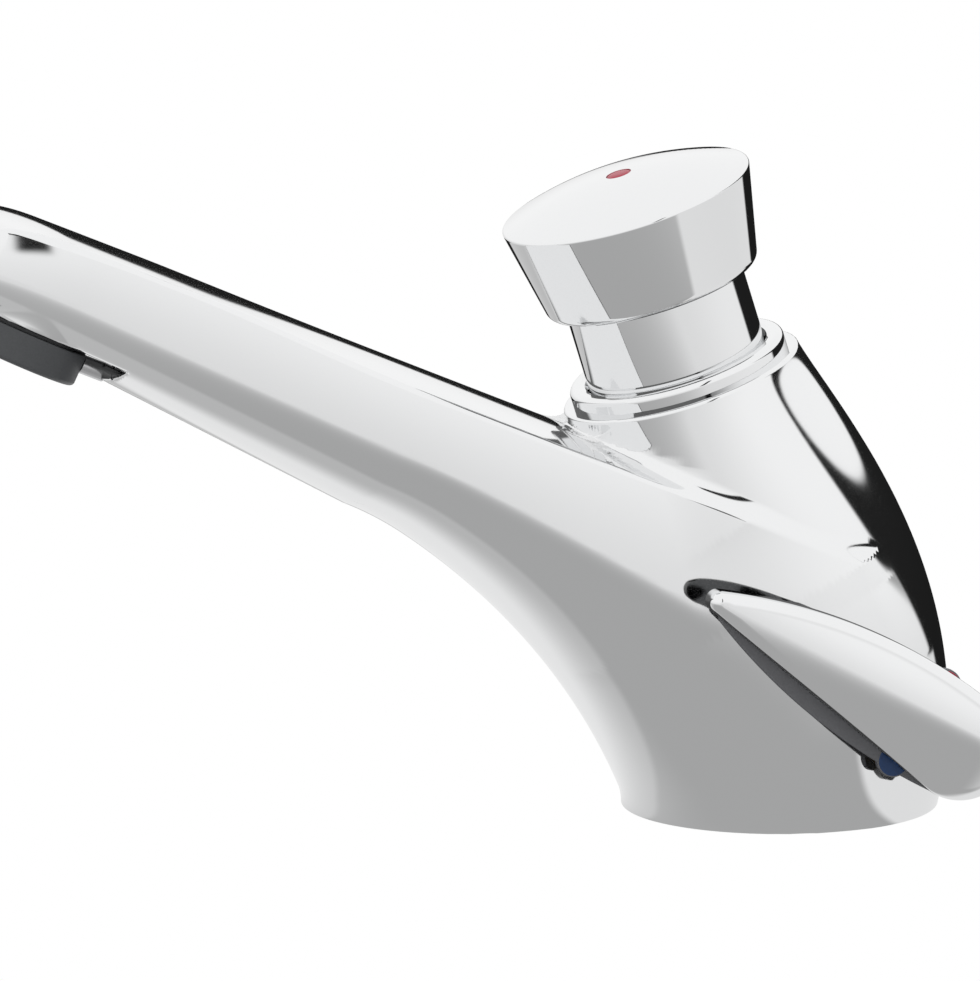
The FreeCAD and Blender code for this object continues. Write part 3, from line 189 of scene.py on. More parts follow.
def casting_reach(p):
    """Tower, spout and the outlet's boss as one, less the flat that the aerator's ring sits on.

    The valley gets softer with height and sharp again where it would reach the rim.
    """
    over = above_rim(p)
    tower, spout = np.maximum(tower_reach(p), over - TOWER_ABOVE_RIM), spout_reach(p)
    soft = VALLEY_SOFT + VALLEY_SOFTER * ease(np.clip((p[:, 2] - VALLEY_FOOT) / VALLEY_RISE, 0, 1))
    joined = blend(tower, spout, soft * np.clip(-over / VALLEY_FADE, VALLEY_LEAST, 1))
    outlet = p - spout_point(OUTLET_STATION, OUTLET_FACE)
    aside = np.hypot(outlet @ OUTLET_AHEAD, outlet[:, 1])
    boss = np.maximum(aside - OUTLET_BOSS, outlet @ OUTLET_UP - OUTLET_BOSS_HEIGHT)
    joined = blend(joined, boss, OUTLET_BOSS_SOFT)
    step = p - spout_point(OUTLET_STEP, OUTLET_FACE)
    relief = np.minimum(step @ OUTLET_AHEAD, -(step @ OUTLET_UP))
    return round_inside(joined, relief, OUTLET_ROUND)


def outward(p):
    """Unit normals of the casting: the slope of its reach, from a small step to either side."""
    slope = np.empty_like(p)
    for axis, shift in enumerate(SLOPE_STEP * np.eye(3)):
        slope[:, axis] = casting_reach(p + shift) - casting_reach(p - shift)
    return slope / np.linalg.norm(slope, axis=1, keepdims=True).clip(1e-9)


def mesh_object(name, points, faces, normals):
    """A mesh object from points in millimetres, with a stated normal at each point."""
    mesh = bpy.data.meshes.new(name)
    mesh.from_pydata((points * MM).tolist(), [], [list(face) for face in faces])
    mesh.polygons.foreach_set("use_smooth", [True] * len(mesh.polygons))
    mesh.normals_split_custom_set_from_vertices(normals.tolist())
    mesh.update()
    piece = bpy.data.objects.new(name, mesh)
    bpy.context.collection.objects.link(piece)
    return piece


def grid_faces(rows, columns):
    """Quads of a grid of points, with its last column joined to the first."""
    row = np.arange(rows - 1)[:, None] * columns
    column = np.arange(columns)[None, :]
    after = (column + 1) % columns
    corners = [row + column, row + after, row + columns + after, row + columns + column]
    return np.stack(corners, axis=-1).reshape(-1, 4)


HEART = np.array([-12.0, 0.0, 42.0])
NOSE_MIDDLE = 71.0
LEFT = np.array([0.0, -1.0, 0.0])
RAY_TURNS = ((0, 60, 21), (60, 75, 43), (75, 180, 53))
NEAR_LEAN, RAYS_PER_LEAN = 0.35, 1400
RAY_LENGTH, HALVINGS = 180.0, 21
SKIN_COLUMNS, SKIN_PASSES = 370, 3
SPARE_FOOT, SPARE_TOP, SPARE_RADIUS = 5.0, 1.0, 20.0
SPARE_WEIGHT, NOSE_WEIGHT, NOSE_FROM = 0.05, 1.35, -60.0


def casting_points():
    """Rows of points round the casting, each from the nose to the back and home on the other side.

    A ray is cos(lean) * ahead + sin(lean) * side, where side is up turned about ahead by turn. Its
    end is found by halving. Points are then spaced along each row by length times a weight, which
    spares the parts that are cut off later.
    """
    ahead = spout_point(SPOUT_LENGTH, NOSE_MIDDLE) - HEART
    ahead /= np.linalg.norm(ahead)
    up = np.array([ahead[2], 0.0, -ahead[0]])
    turns = np.concatenate([np.linspace(start, stop, count)[:-1] for start, stop, count in RAY_TURNS])
    turns = np.radians(np.append(turns, RAY_TURNS[-1][1]))
    leans = np.concatenate([np.linspace(0, NEAR_LEAN, RAYS_PER_LEAN)[:-1],
                            np.linspace(NEAR_LEAN, math.pi, RAYS_PER_LEAN)])
    turn, lean = np.meshgrid(turns, leans, indexing="ij")
    side = np.cos(turn)[..., None] * up + np.sin(turn)[..., None] * LEFT
    rays = (np.cos(lean)[..., None] * ahead + np.sin(lean)[..., None] * side).reshape(-1, 3)
    near, far = np.zeros(len(rays)), np.full(len(rays), RAY_LENGTH)
    for _ in range(HALVINGS):
        middle = (near + far) / 2
        p = HEART + rays * middle[:, None]
        outside = np.maximum(casting_reach(p), -p[:, 2] - SPARE_FOOT) > 0
        near, far = np.where(outside, near, middle), np.where(outside, middle, far)
    p = (HEART + rays * near[:, None]).reshape(len(turns), len(leans), 3)
    spare = (p[..., 2] < -SPARE_TOP) | (above_rim(p) > SPARE_TOP) & (off_axis(p) < SPARE_RADIUS)
    weight = np.where(spare, SPARE_WEIGHT, np.where(p[..., 0] < NOSE_FROM, NOSE_WEIGHT, 1.0))[:, 1:]
    path = np.cumsum(np.linalg.norm(np.diff(p, axis=1), axis=2) * weight, axis=1)
    path = np.concatenate([np.zeros((len(turns), 1)), path], axis=1)
    stations = np.linspace(0, 1, SKIN_COLUMNS)
    half = np.stack([[np.interp(stations * s[-1], s, q[:, axis]) for axis in range(3)]
                     for s, q in zip(path, p)]).transpose(2, 0, 1)
    mirrored = half[:, 1:-1][:, ::-1] * np.array([1.0, -1.0, 1.0])
    return np.concatenate([half, mirrored], axis=1)


def on_the_skin(p):
    """Move points along the slope of the casting's reach, by that reach, until they lie on it."""
    for _ in range(SKIN_PASSES):
        p = p - outward(p) * casting_reach(p)[:, None]
    return p


RIM_REACH = 20.4
KEEP_BELOW, KEEP_ABOVE = -3.0, 3.0
rows = casting_points()
row_count, column_count = rows.shape[:2]
inner_rows = rows[1:-1].reshape(-1, 3)
in_use = (above_rim(inner_rows) < KEEP_ABOVE) | (off_axis(inner_rows) > RIM_REACH)
kept = in_use & (inner_rows[:, 2] > KEEP_BELOW)
inner_rows[kept] = on_the_skin(inner_rows[kept])
points = np.concatenate([rows[0, :1], inner_rows, rows[-1, :1]])
column = np.arange(column_count)
after = (column + 1) % column_count
foot = 1 + (row_count - 3) * column_count
nose_fan = np.stack([0 * column, 1 + after, 1 + column], axis=1)
back_fan = np.stack([0 * column + len(points) - 1, foot + column, foot + after], axis=1)
faces = (grid_faces(row_count - 2, column_count) + 1).tolist() + nose_fan.tolist() + back_fan.tolist()

BASE_ROUND, RIM_ROUND = 0.4, 0.6
ROUND_STEPS, FLAT_WIDTH = 4, 3.0
DOWN = np.array([0.0, 0.0, -1.0])


def rounded_cut(shell, faces, place, direction, radius):
    """Cut faces off at a plane and close the hole over a quarter round and a flat.

    From angle start to stop the open ring goes up by radius * (sin(stop) - sin(start)) and inwards
    by radius * (cos(start) - cos(stop)).
    """
    place, direction = Vector(place), Vector(direction)
    parts = set(faces)
    for face in faces:
        parts.update(face.edges)
        parts.update(face.verts)
    bmesh.ops.bisect_plane(shell, geom=list(parts), plane_co=place, plane_no=direction, clear_outer=True)
    ring = [edge for edge in shell.edges
            if edge.is_boundary and all(abs((v.co - place).dot(direction)) < 1e-4 for v in edge.verts)]
    angles = np.linspace(0, math.pi / 2, ROUND_STEPS + 1)
    steps = list(zip(-np.diff(np.cos(angles)) * radius, np.diff(np.sin(angles)) * radius))
    for inward, upward in steps + [(FLAT_WIDTH, 0.0)]:
        made = bmesh.ops.extrude_edge_only(shell, edges=ring)["geom"]
        for vert in [item for item in made if isinstance(item, bmesh.types.BMVert)]:
            away = vert.co - place
            away -= direction * away.dot(direction)
            vert.co += direction * upward - away.normalized() * inward
        ring = [item for item in made if isinstance(item, bmesh.types.BMEdge) and item.is_boundary
                and all(vert in made for vert in item.verts)]
    bmesh.ops.holes_fill(shell, edges=ring)


draft = bpy.data.meshes.new("casting_draft")
draft.from_pydata(points.tolist(), [], faces)
shell = bmesh.new()
shell.from_mesh(draft)
bmesh.ops.recalc_face_normals(shell, faces=shell.faces)
rounded_cut(shell, shell.faces[:], -DOWN * BASE_ROUND, DOWN, BASE_ROUND)
near_rim = [face for face in shell.faces
            if off_axis(np.array([v.co[:] for v in face.verts])).max() < RIM_REACH]
rounded_cut(shell, near_rim, HEAD_FOOT + HEAD_AXIS * (RIM_HEIGHT - RIM_ROUND), HEAD_AXIS, RIM_ROUND)
bmesh.ops.recalc_face_normals(shell, faces=shell.faces)
shell.to_mesh(draft)
shell.free()
points = np.empty(3 * len(draft.vertices))
draft.vertices.foreach_get("co", points)
points = points.reshape(-1, 3)
faces = [list(face.vertices) for face in draft.polygons]
bpy.data.meshes.remove(draft)

normals = outward(points)
over_rim = np.where(off_axis(points) < RIM_REACH, above_rim(points) + RIM_ROUND, 0)
for lift, radius, direction in ((BASE_ROUND - points[:, 2], BASE_ROUND, DOWN),
                                (over_rim, RIM_ROUND, HEAD_AXIS)):
    sine = np.clip(lift / radius, 0, 1)[:, None]
    side = normals - (normals @ direction)[:, None] * direction
    side /= np.linalg.norm(side, axis=1, keepdims=True).clip(1e-9)
    normals = np.where(sine > 1e-4, side * np.sqrt(1 - sine ** 2) + direction * sine, normals)
casting = mesh_object("casting", points, faces, normals)


def chrome(name, tint, roughness, speckle):
    """Metal: a mirror whose roughness wanders by a fifth with a fine noise, which may also be felt."""
    material = bpy.data.materials.new(name)
    material.use_nodes = True
    nodes, links = material.node_tree.nodes, material.node_tree.links
    shader = nodes["Principled BSDF"]
    shader.inputs["Metallic"].default_value = 1.0
    shader.inputs["Base Color"].default_value = (*tint, 1.0)
    place = nodes.new("ShaderNodeTexCoord")
    grain = nodes.new("ShaderNodeTexNoise")
    grain.inputs["Scale"].default_value = 900.0
    grain.inputs["Detail"].default_value = 3.0
    links.new(place.outputs["Object"], grain.inputs["Vector"])
    spread = nodes.new("ShaderNodeMapRange")
    spread.inputs["To Min"].default_value = roughness * 0.8
    spread.inputs["To Max"].default_value = roughness * 1.2
    links.new(grain.outputs["Fac"], spread.inputs["Value"])
    links.new(spread.outputs["Result"], shader.inputs["Roughness"])
    if speckle:
        bump = nodes.new("ShaderNodeBump")
        bump.inputs["Strength"].default_value = speckle
        bump.inputs["Distance"].default_value = 0.00002
        links.new(grain.outputs["Fac"], bump.inputs["Height"])
        links.new(bump.outputs["Normal"], shader.inputs["Normal"])
    return material


PLATING = (0.86, 0.865, 0.87)
casting_chrome = chrome("casting_chrome", PLATING, 0.06, 0.0)
casting.data.materials.append(casting_chrome)
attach(casting, "casting")
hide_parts("tap_body")

# Collar ring: turned and plated brass, screwed into the tower's rim, where it holds the cartridge.
# Its outer edge is well rounded and its inner edge falls away in two small steps to the neck.

ARC_POINTS = 9


def rounded_profile(corners, closed):
    """Points and normals of a profile of (radius, height, rounding) corners.

    A corner's arc has its centre at corner - before * rounding * tan(bend / 2), moved square to
    the side by the rounding. A sharp corner is two points with a normal each.
    """
    outline = []
    count = len(corners)
    for index, (radius, height, rounding) in enumerate(corners):
        here = np.array([radius, height], float)
        if not closed and index in (0, count - 1):
            other = corners[1] if index == 0 else corners[-2]
            along = (np.array(other[:2], float) - here) * (1 if index == 0 else -1)
            along /= np.linalg.norm(along)
            outline.append((here, np.array([along[1], -along[0]])))
            continue
        before = here - np.array(corners[index - 1][:2], float)
        after = np.array(corners[(index + 1) % count][:2], float) - here
        before, after = before / np.linalg.norm(before), after / np.linalg.norm(after)
        first, second = np.array([before[1], -before[0]]), np.array([after[1], -after[0]])
        if not rounding:
            outline += [(here, first), (here, second)]
            continue
        bend = math.acos(np.clip(before @ after, -1, 1))
        sign = 1 if before[0] * after[1] - before[1] * after[0] > 0 else -1
        centre = here - before * rounding * math.tan(bend / 2) - first * rounding * sign
        for angle in np.linspace(0, bend * sign, ARC_POINTS):
            normal = np.array([first[0] * math.cos(angle) - first[1] * math.sin(angle),
                               first[0] * math.sin(angle) + first[1] * math.cos(angle)])
            outline.append((centre + normal * rounding * sign, normal))
    return [p for p, _ in outline], [n for _, n in outline]


def turned(name, corners, foot, axis, segments=192, closed=False):
    """Revolve a profile: foot + radius * (cos(turn) * side + sin(turn) * across) + height * axis."""
    profile, profile_normals = rounded_profile(corners, closed)
    across = np.array([1.0, 0.0, 0.0] if abs(axis[1]) > 0.5 else [0.0, 1.0, 0.0])
    side = np.cross(across, axis)
    turn = np.linspace(0, 2 * math.pi, segments, endpoint=False)
    wheel = np.cos(turn)[:, None] * side + np.sin(turn)[:, None] * across
    points = np.concatenate([foot + wheel * p[0] + axis * p[1] for p in profile])
    normals = np.concatenate([wheel * n[0] + axis * n[1] for n in profile_normals])
    faces = grid_faces(len(profile), segments)
    if closed:
        seam = grid_faces(2, segments)
        seam = np.where(seam < segments, seam + (len(profile) - 1) * segments, seam - segments)
        faces = np.concatenate([faces, seam])
    return mesh_object(name, points, faces, normals)


COLLAR_RADIUS, COLLAR_LIP, COLLAR_STEP, COLLAR_BORE = 17.5, 15.6, 14.9, 14.5
COLLAR_TOP, COLLAR_STEP_HEIGHT, COLLAR_BORE_HEIGHT = 75.8, 75.5, 74.6
collar = turned("collar", [(COLLAR_RADIUS, RIM_HEIGHT, 0), (COLLAR_RADIUS, COLLAR_TOP, 1.1),
                           (COLLAR_LIP, COLLAR_TOP, 0.4), (COLLAR_STEP, COLLAR_STEP_HEIGHT, 0.3),
                           (COLLAR_BORE, COLLAR_BORE_HEIGHT, 0)], HEAD_FOOT, HEAD_AXIS)
trim_chrome = chrome("trim_chrome", PLATING, 0.045, 0.0)
collar.data.materials.append(trim_chrome)
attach(collar, "casting")
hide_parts("collar_ring")

# Neck: a fixed sleeve of plated brass tube, held in the collar. The push cap slides down over it
# and hides its upper end.

NECK_RADIUS, NECK_BORE = 14.4, 13.3
NECK_LOW, NECK_TOP = 70.0, 90.5
neck = turned("neck", [(NECK_RADIUS, NECK_LOW, 0), (NECK_RADIUS, NECK_TOP, 0.3), (NECK_BORE, NECK_TOP, 0.3),
                       (NECK_BORE, NECK_LOW, 0)], HEAD_FOOT, HEAD_AXIS, closed=True)
neck.data.materials.append(trim_chrome)
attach(neck, "casting")
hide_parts("neck_sleeve")

# Push cap: turned and plated brass on the cartridge's stem. It flares from a rounded lower rim to
# a crisp upper one, its top is a shallow dome, and a red plastic mark is let into the middle.

CAP_LOW, CAP_HIGH, CAP_DOME = 87.9, 103.5, 3.76
CAP_LOW_RADIUS, CAP_RADIUS, CAP_BORE, CAP_BORE_DEEP = 17.1, 20.3, 14.75, 12.0
MARK_RADIUS, MARK_GAP, MARK_FOOT = 2.0, 0.05, CAP_HIGH + 2.8
MARK_PROUD, MARK_FALL, DOME_EDGE = 0.1, 0.25, 0.9
dome_radius = (CAP_RADIUS ** 2 + CAP_DOME ** 2) / (2 * CAP_DOME)


def dome_height(r):
    """Height along the head's axis of the cap's top, part of a sphere: its middle plus sqrt(R^2 - r^2)."""
    return CAP_HIGH + CAP_DOME - dome_radius + math.sqrt(dome_radius ** 2 - r * r)


dome = [(r, dome_height(r), 0) for r in np.linspace(CAP_RADIUS - DOME_EDGE, MARK_RADIUS + MARK_GAP, 30)]
skirt = [(CAP_BORE, CAP_LOW + CAP_BORE_DEEP, 0), (CAP_BORE, CAP_LOW, 0.4), (CAP_LOW_RADIUS, CAP_LOW, 1.6),
         (CAP_RADIUS, CAP_HIGH, 0.5)]
mark_pit = [(MARK_RADIUS + MARK_GAP, MARK_FOOT, 0)]
cap = turned("push_cap", skirt + dome + mark_pit, HEAD_FOOT, HEAD_AXIS, segments=256)
cap.data.materials.append(trim_chrome)
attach(cap, "button")
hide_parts("push_button")


def plastic(name, tint, roughness, grain_size, grain_depth):
    """Moulded plastic or rubber: a noise varies the tint by 15% and gives the surface a fine grain."""
    material = bpy.data.materials.new(name)
    material.use_nodes = True
    nodes, links = material.node_tree.nodes, material.node_tree.links
    shader = nodes["Principled BSDF"]
    shader.inputs["Roughness"].default_value = roughness
    place = nodes.new("ShaderNodeTexCoord")
    grain = nodes.new("ShaderNodeTexNoise")
    grain.inputs["Scale"].default_value = grain_size
    links.new(place.outputs["Object"], grain.inputs["Vector"])
    shade = nodes.new("ShaderNodeMapRange")
    shade.inputs["To Min"].default_value = 0.85
    shade.inputs["To Max"].default_value = 1.15
    links.new(grain.outputs["Fac"], shade.inputs["Value"])
    colour = nodes.new("ShaderNodeVectorMath")
    colour.operation = "SCALE"
    colour.inputs[0].default_value = tint
    links.new(shade.outputs["Result"], colour.inputs["Scale"])
    links.new(colour.outputs["Vector"], shader.inputs["Base Color"])
    bump = nodes.new("ShaderNodeBump")
    bump.inputs["Distance"].default_value = grain_depth
    links.new(grain.outputs["Fac"], bump.inputs["Height"])
    links.new(bump.outputs["Normal"], shader.inputs["Normal"])
    return material


mark_dome = [(r, dome_height(r) + MARK_PROUD - MARK_FALL * (r / MARK_RADIUS) ** 4, 0)
             for r in np.linspace(MARK_RADIUS, 0.0, 12)]
mark = turned("push_mark", [(MARK_RADIUS, MARK_FOOT, 0)] + mark_dome, HEAD_FOOT, HEAD_AXIS, segments=96)
red_look = plastic("red_look", (0.42, 0.018, 0.05), 0.3, 1500, 0.000004)
mark.data.materials.append(red_look)
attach(mark, "button")
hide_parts("button_mark")

# Side boss: part of the brass casting, a round stub that comes out of the tower's skin and carries
# the bush of the lever's spindle. Its face is turned flat, with a broken edge.

PIVOT = np.array([15.3, 0.0, 17.0])
BOSS_RADIUS, BOSS_ROOT, BOSS_FACE = 9.0, 12.0, 23.0
side_boss = turned("side_boss", [(BOSS_RADIUS, BOSS_ROOT, 0), (BOSS_RADIUS, BOSS_FACE, 0.4),
                                 (0.0, BOSS_FACE, 0)], PIVOT, LEFT)
side_boss.data.materials.append(casting_chrome)
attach(side_boss, "casting")

# Temperature lever: cast and plated brass, screwed to the mixing spindle. It is a teardrop with a
# round end and a small tip; its face is crowned and its rim is rounded like a cushion's.

LEVER_BACK_Y = -27.55
LEVER_THICK, LEVER_SIDE, LEVER_ROUND, LEVER_LEAST = 4.8, 0.35, 1.9, 0.4
END_CENTRE, END_RADIUS = np.array([21.2, 13.5]), 8.5
TIP_CENTRE, TIP_RADIUS = np.array([-18.5, 39.0]), 1.8
LEVER_BACK_RADIUS, LEVER_BELLY_RADIUS = 95.0, 4000.0
SIDE_POINTS, RIM_RINGS, FACE_RINGS = 400, 14, 22
SPINE_START, SPINE_END, SPINE_SHARE, SPINE_GAP = 0.01, 0.985, 0.85, 0.1
CROWN_STATION, CROWN_ASIDE = 30.0, 0.2
CROWN_ACROSS_RADIUS, CROWN_ALONG_RADIUS = 24.0, 420.0
lever_line = (END_CENTRE - TIP_CENTRE) / np.linalg.norm(END_CENTRE - TIP_CENTRE)


def square_to(line):
    """The direction a quarter turn to the left of a line."""
    return np.array([-line[1], line[0]])


def teardrop(count, tip, back_radius, belly_radius):
    """Outline in the lever's plane (x, z): two round ends joined by two arcs, with outward normals.

    A side's centre lies radius - end radius from one end's centre and radius - tip radius from the
    other's, so its arc meets both ends smoothly. The points are equally spaced.
    """
    length = np.linalg.norm(END_CENTRE - tip)
    line = (END_CENTRE - tip) / length
    swept = []
    for radius, side in ((back_radius, -1), (belly_radius, 1)):
        from_end, from_tip = radius - END_RADIUS, radius - TIP_RADIUS
        along = (from_tip ** 2 - from_end ** 2 + length ** 2) / (2 * length)
        swept.append(tip + line * along + square_to(line) * side * math.sqrt(from_tip ** 2 - along ** 2))
    back, belly = swept
    points, normals = [], []
    for centre, radius, start, stop in (
            (tip, TIP_RADIUS, tip - back, tip - belly),
            (belly, belly_radius, tip - belly, END_CENTRE - belly),
            (END_CENTRE, END_RADIUS, END_CENTRE - belly, END_CENTRE - back),
            (back, back_radius, END_CENTRE - back, tip - back)):
        first, second = math.atan2(start[1], start[0]), math.atan2(stop[1], stop[0])
        turn = np.linspace(first, second + (2 * math.pi if second < first else 0), SIDE_POINTS)
        normals.append(np.stack([np.cos(turn), np.sin(turn)], axis=1))
        points.append(centre + normals[-1] * radius)
    points = np.concatenate(points + [points[0][:1]])
    normals = np.concatenate(normals + [normals[0][:1]])
    path = np.concatenate([[0], np.cumsum(np.linalg.norm(np.diff(points, axis=0), axis=1))])
    stations = np.linspace(0, path[-1], count, endpoint=False)
    even = np.stack([np.interp(stations, path, values) for values in (*points.T, *normals.T)], axis=1)
    return even[:, :2], even[:, 2:] / np.linalg.norm(even[:, 2:], axis=1, keepdims=True)


def lever_face(p):
    """Height of the lever's face over its back: thickness - w^2 / (2 across) - s^2 / (2 along)."""
    from_middle = p - TIP_CENTRE - lever_line * CROWN_STATION
    w, s = from_middle @ square_to(lever_line) + CROWN_ASIDE, from_middle @ lever_line
    return LEVER_THICK - w * w / (2 * CROWN_ACROSS_RADIUS) - s * s / (2 * CROWN_ALONG_RADIUS)


def at_depth(outline, y):
    """Put an outline of (x, z) points at a depth y, the same for all or one for each point."""
    return np.stack([outline[:, 0], y + 0 * outline[:, 0], outline[:, 1]], axis=1)


def sealed_object(name, rings, flats, sharp_degrees):
    """A closed mesh from rings of points in millimetres and the indexes of its flat faces."""
    mesh = bpy.data.meshes.new(name)
    faces = grid_faces(len(rings), len(rings[0])).tolist()
    mesh.from_pydata((np.concatenate(rings) * MM).tolist(), [], faces + flats)
    mesh.polygons.foreach_set("use_smooth", [True] * len(mesh.polygons))
    sealed = bmesh.new()
    sealed.from_mesh(mesh)
    bmesh.ops.remove_doubles(sealed, verts=sealed.verts, dist=1e-6)
    bmesh.ops.recalc_face_normals(sealed, faces=sealed.faces)
    sealed.to_mesh(mesh)
    sealed.free()
    mesh.set_sharp_from_angle(angle=math.radians(sharp_degrees))
    piece = bpy.data.objects.new(name, mesh)
    bpy.context.collection.objects.link(piece)
    return piece


outline, outline_normals = teardrop(420, TIP_CENTRE, LEVER_BACK_RADIUS, LEVER_BELLY_RADIUS)
station = (outline - TIP_CENTRE) @ lever_line / np.linalg.norm(END_CENTRE - TIP_CENTRE)
spine = TIP_CENTRE + np.clip(station, SPINE_START, SPINE_END)[:, None] * (END_CENTRE - TIP_CENTRE)
shrink = np.minimum(LEVER_ROUND, SPINE_SHARE * np.linalg.norm(outline - spine, axis=1) - SPINE_GAP)
rim = outline - outline_normals * shrink[:, None]
rings = [at_depth(outline, LEVER_BACK_Y), at_depth(outline, LEVER_BACK_Y - LEVER_SIDE)]
for turn in np.linspace(0, math.pi / 2, RIM_RINGS):
    inset = outline - outline_normals * (shrink * (1 - math.cos(turn)))[:, None]
    height = lever_face(rim) - LEVER_ROUND * (1 - math.sin(turn))
    rings.append(at_depth(inset, LEVER_BACK_Y - np.maximum(height, LEVER_LEAST * (1 + turn))))
for share in np.linspace(0, 1, FACE_RINGS)[1:]:
    inner = rim + (spine - rim) * share
    rings.append(at_depth(inner, LEVER_BACK_Y - lever_face(inner)))
lever = sealed_object("lever", rings, [list(range(len(outline)))[::-1]], 50)
lever.data.materials.append(trim_chrome)
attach(lever, "lever")
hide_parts("temperature_lever")

# Index plate: thin dark plastic on the face of the side boss, so that it stays still when the lever
# turns. It follows the lever's teardrop with a fuller belly, which shows as a strip below it.

PLATE_BACK_Y, PLATE_FACE_Y = -25.6, -27.2
PLATE_SHARE, PLATE_TIP_ASIDE = 0.92, np.array([-0.6, -0.9])
PLATE_BACK_RADIUS, PLATE_BELLY_RADIUS = 420.0, 104.0
PLATE_EDGE, PLATE_FACE_EDGE = 0.3, 0.09
plate_tip = END_CENTRE + (TIP_CENTRE - END_CENTRE) * PLATE_SHARE + PLATE_TIP_ASIDE
outline, outline_normals = teardrop(300, plate_tip, PLATE_BACK_RADIUS, PLATE_BELLY_RADIUS)
rings = [at_depth(outline - outline_normals * inset, y)
         for inset, y in ((PLATE_EDGE, PLATE_BACK_Y), (0.0, PLATE_BACK_Y - PLATE_EDGE),
                          (0.0, PLATE_FACE_Y + PLATE_EDGE),
                          (PLATE_FACE_EDGE, PLATE_FACE_Y + PLATE_FACE_EDGE), (PLATE_EDGE, PLATE_FACE_Y))]
flat = list(range(len(outline)))
face = [index + (len(rings) - 1) * len(outline) for index in flat]
plate = sealed_object("index_plate_look", rings, [flat[::-1], face], 35)
plate_look = plastic("plate_plastic_look", (0.12, 0.122, 0.13), 0.45, 2500, 0.00001)
plate.data.materials.append(plate_look)
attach(plate, "casting")
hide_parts("index_plate")

# Index marks: a blue and a red plastic disc for cold and hot, pressed into round ears that swell
# the plate's edge. Each stands a little proud of the plate's face.

EAR_RADIUS, EAR_BACK, EAR_FACE = 2.7, 25.7, 27.18
INSERT_RADIUS, INSERT_BACK, INSERT_FACE = 2.45, 26.3, 27.29
blue_look = plastic("blue_look", (0.008, 0.04, 0.13), 0.3, 1500, 0.000004)
for mark_name, finish, look, foot in (("cold_mark", "blue_insert", blue_look, np.array([10.75, 0.0, 11.5])),
                                      ("hot_mark", "red_insert", red_look, np.array([19.15, 0.0, 23.0]))):
    ear = turned(mark_name + "_ear", [(0.0, EAR_BACK, 0), (EAR_RADIUS, EAR_BACK, 0.2),
                                      (EAR_RADIUS, EAR_FACE, 0.25), (0.0, EAR_FACE, 0)],
                 foot, LEFT, segments=96)
    ear.data.materials.append(plate_look)
    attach(ear, "casting")
    insert = turned(mark_name + "_look", [(0.0, INSERT_BACK, 0), (INSERT_RADIUS, INSERT_BACK, 0),
                                          (INSERT_RADIUS, INSERT_FACE, 0.1), (0.0, INSERT_FACE, 0)],
                    foot, LEFT, segments=96)
    insert.data.materials.append(look)
    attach(insert, "casting")
    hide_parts(mark_name)

# Aerator: a dark plastic ring screwed up into the spout's underside, from which its lower part
# stands out with a rounded rim. Its screen is the solid of the CAD model.

RING_RADIUS, RING_FOOT, RING_SEAT = 12.0, -5.4, -0.05
NECK_OF_RING, RING_TOP = 10.8, 6.0
SCREEN_BORE, SCREEN_SEAT, JET_BORE = 9.05, 3.0, 9.0
outlet_foot = spout_point(OUTLET_STATION, OUTLET_FACE)
ring = turned("aerator_ring", [(JET_BORE, RING_FOOT, 0.3), (RING_RADIUS, RING_FOOT, 0.7),
                               (RING_RADIUS, RING_SEAT, 0.25), (NECK_OF_RING, RING_SEAT, 0),
                               (NECK_OF_RING, RING_TOP, 0.2), (SCREEN_BORE, RING_TOP, 0.2),
                               (SCREEN_BORE, SCREEN_SEAT, 0), (JET_BORE, SCREEN_SEAT, 0)],
              outlet_foot, OUTLET_UP, closed=True)
aerator_look = plastic("aerator_look", (0.055, 0.058, 0.062), 0.42, 3000, 0.00001)
ring.data.materials.append(aerator_look)
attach(ring, "casting")
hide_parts("aerator_housing")

# Lock screw: a small stainless grub screw in the step behind the aerator, which keeps the ring from
# being unscrewed. Its end has a round socket for the key.

LOCK_RADIUS, LOCK_LENGTH, LOCK_END, LOCK_OFFSET = 1.5, 4.6, 48.3, 62.7
SOCKET_RADIUS, SOCKET_FLOOR, SOCKET_FOOT = 0.75, 0.6, LOCK_LENGTH - 1.2
lock_foot = spout_point(LOCK_END - LOCK_LENGTH, LOCK_OFFSET)
lock = turned("lock_screw", [(0.0, 0.0, 0), (LOCK_RADIUS, 0.0, 0.5), (LOCK_RADIUS, LOCK_LENGTH, 0.35),
                             (SOCKET_RADIUS, LOCK_LENGTH, 0.1), (SOCKET_FLOOR, SOCKET_FOOT, 0.1),
                             (0.0, SOCKET_FOOT, 0)], lock_foot, SPOUT_AHEAD, segments=96)
steel_look = chrome("steel_look", (0.62, 0.62, 0.63), 0.22, 0.3)
lock.data.materials.append(steel_look)
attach(lock, "casting")
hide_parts("aerator_lock_screw")

# Inner pieces: the cartridge, its stem, spring, seals and nut, the spindle with its bush, and the
# gasket are the CAD model's own solids, each in the finish that its slot names.

LOOKS = {
    "plate_plastic": plate_look,
    "aerator_plastic": aerator_look,
    "red_insert": red_look,
    "blue_insert": blue_look,
    "steel": steel_look,
    "brass": chrome("brass_look", (0.78, 0.6, 0.28), 0.2, 0.3),
    "rubber": plastic("rubber_look", (0.02, 0.02, 0.02), 0.7, 2500, 0.00002),
    "cartridge_plastic": plastic("cartridge_look", (0.8, 0.8, 0.76), 0.4, 1500, 0.00001),
    "screen_plastic": plastic("screen_look", (0.45, 0.46, 0.47), 0.4, 2500, 0.00001),
}
finish_of = {part["node"]: part["material_slot"] for part in frame["record"]["subparts"]}
for node_name, node_object in frame["nodes"].items():
    if finish_of[node_name] in LOOKS:
        node_object.data.materials.clear()
        node_object.data.materials.append(LOOKS[finish_of[node_name]])

# Camera: sixteen degrees round to the left and eleven above the deck, and so far off that its
# lines stay nearly parallel. Lengths from here on are in metres.

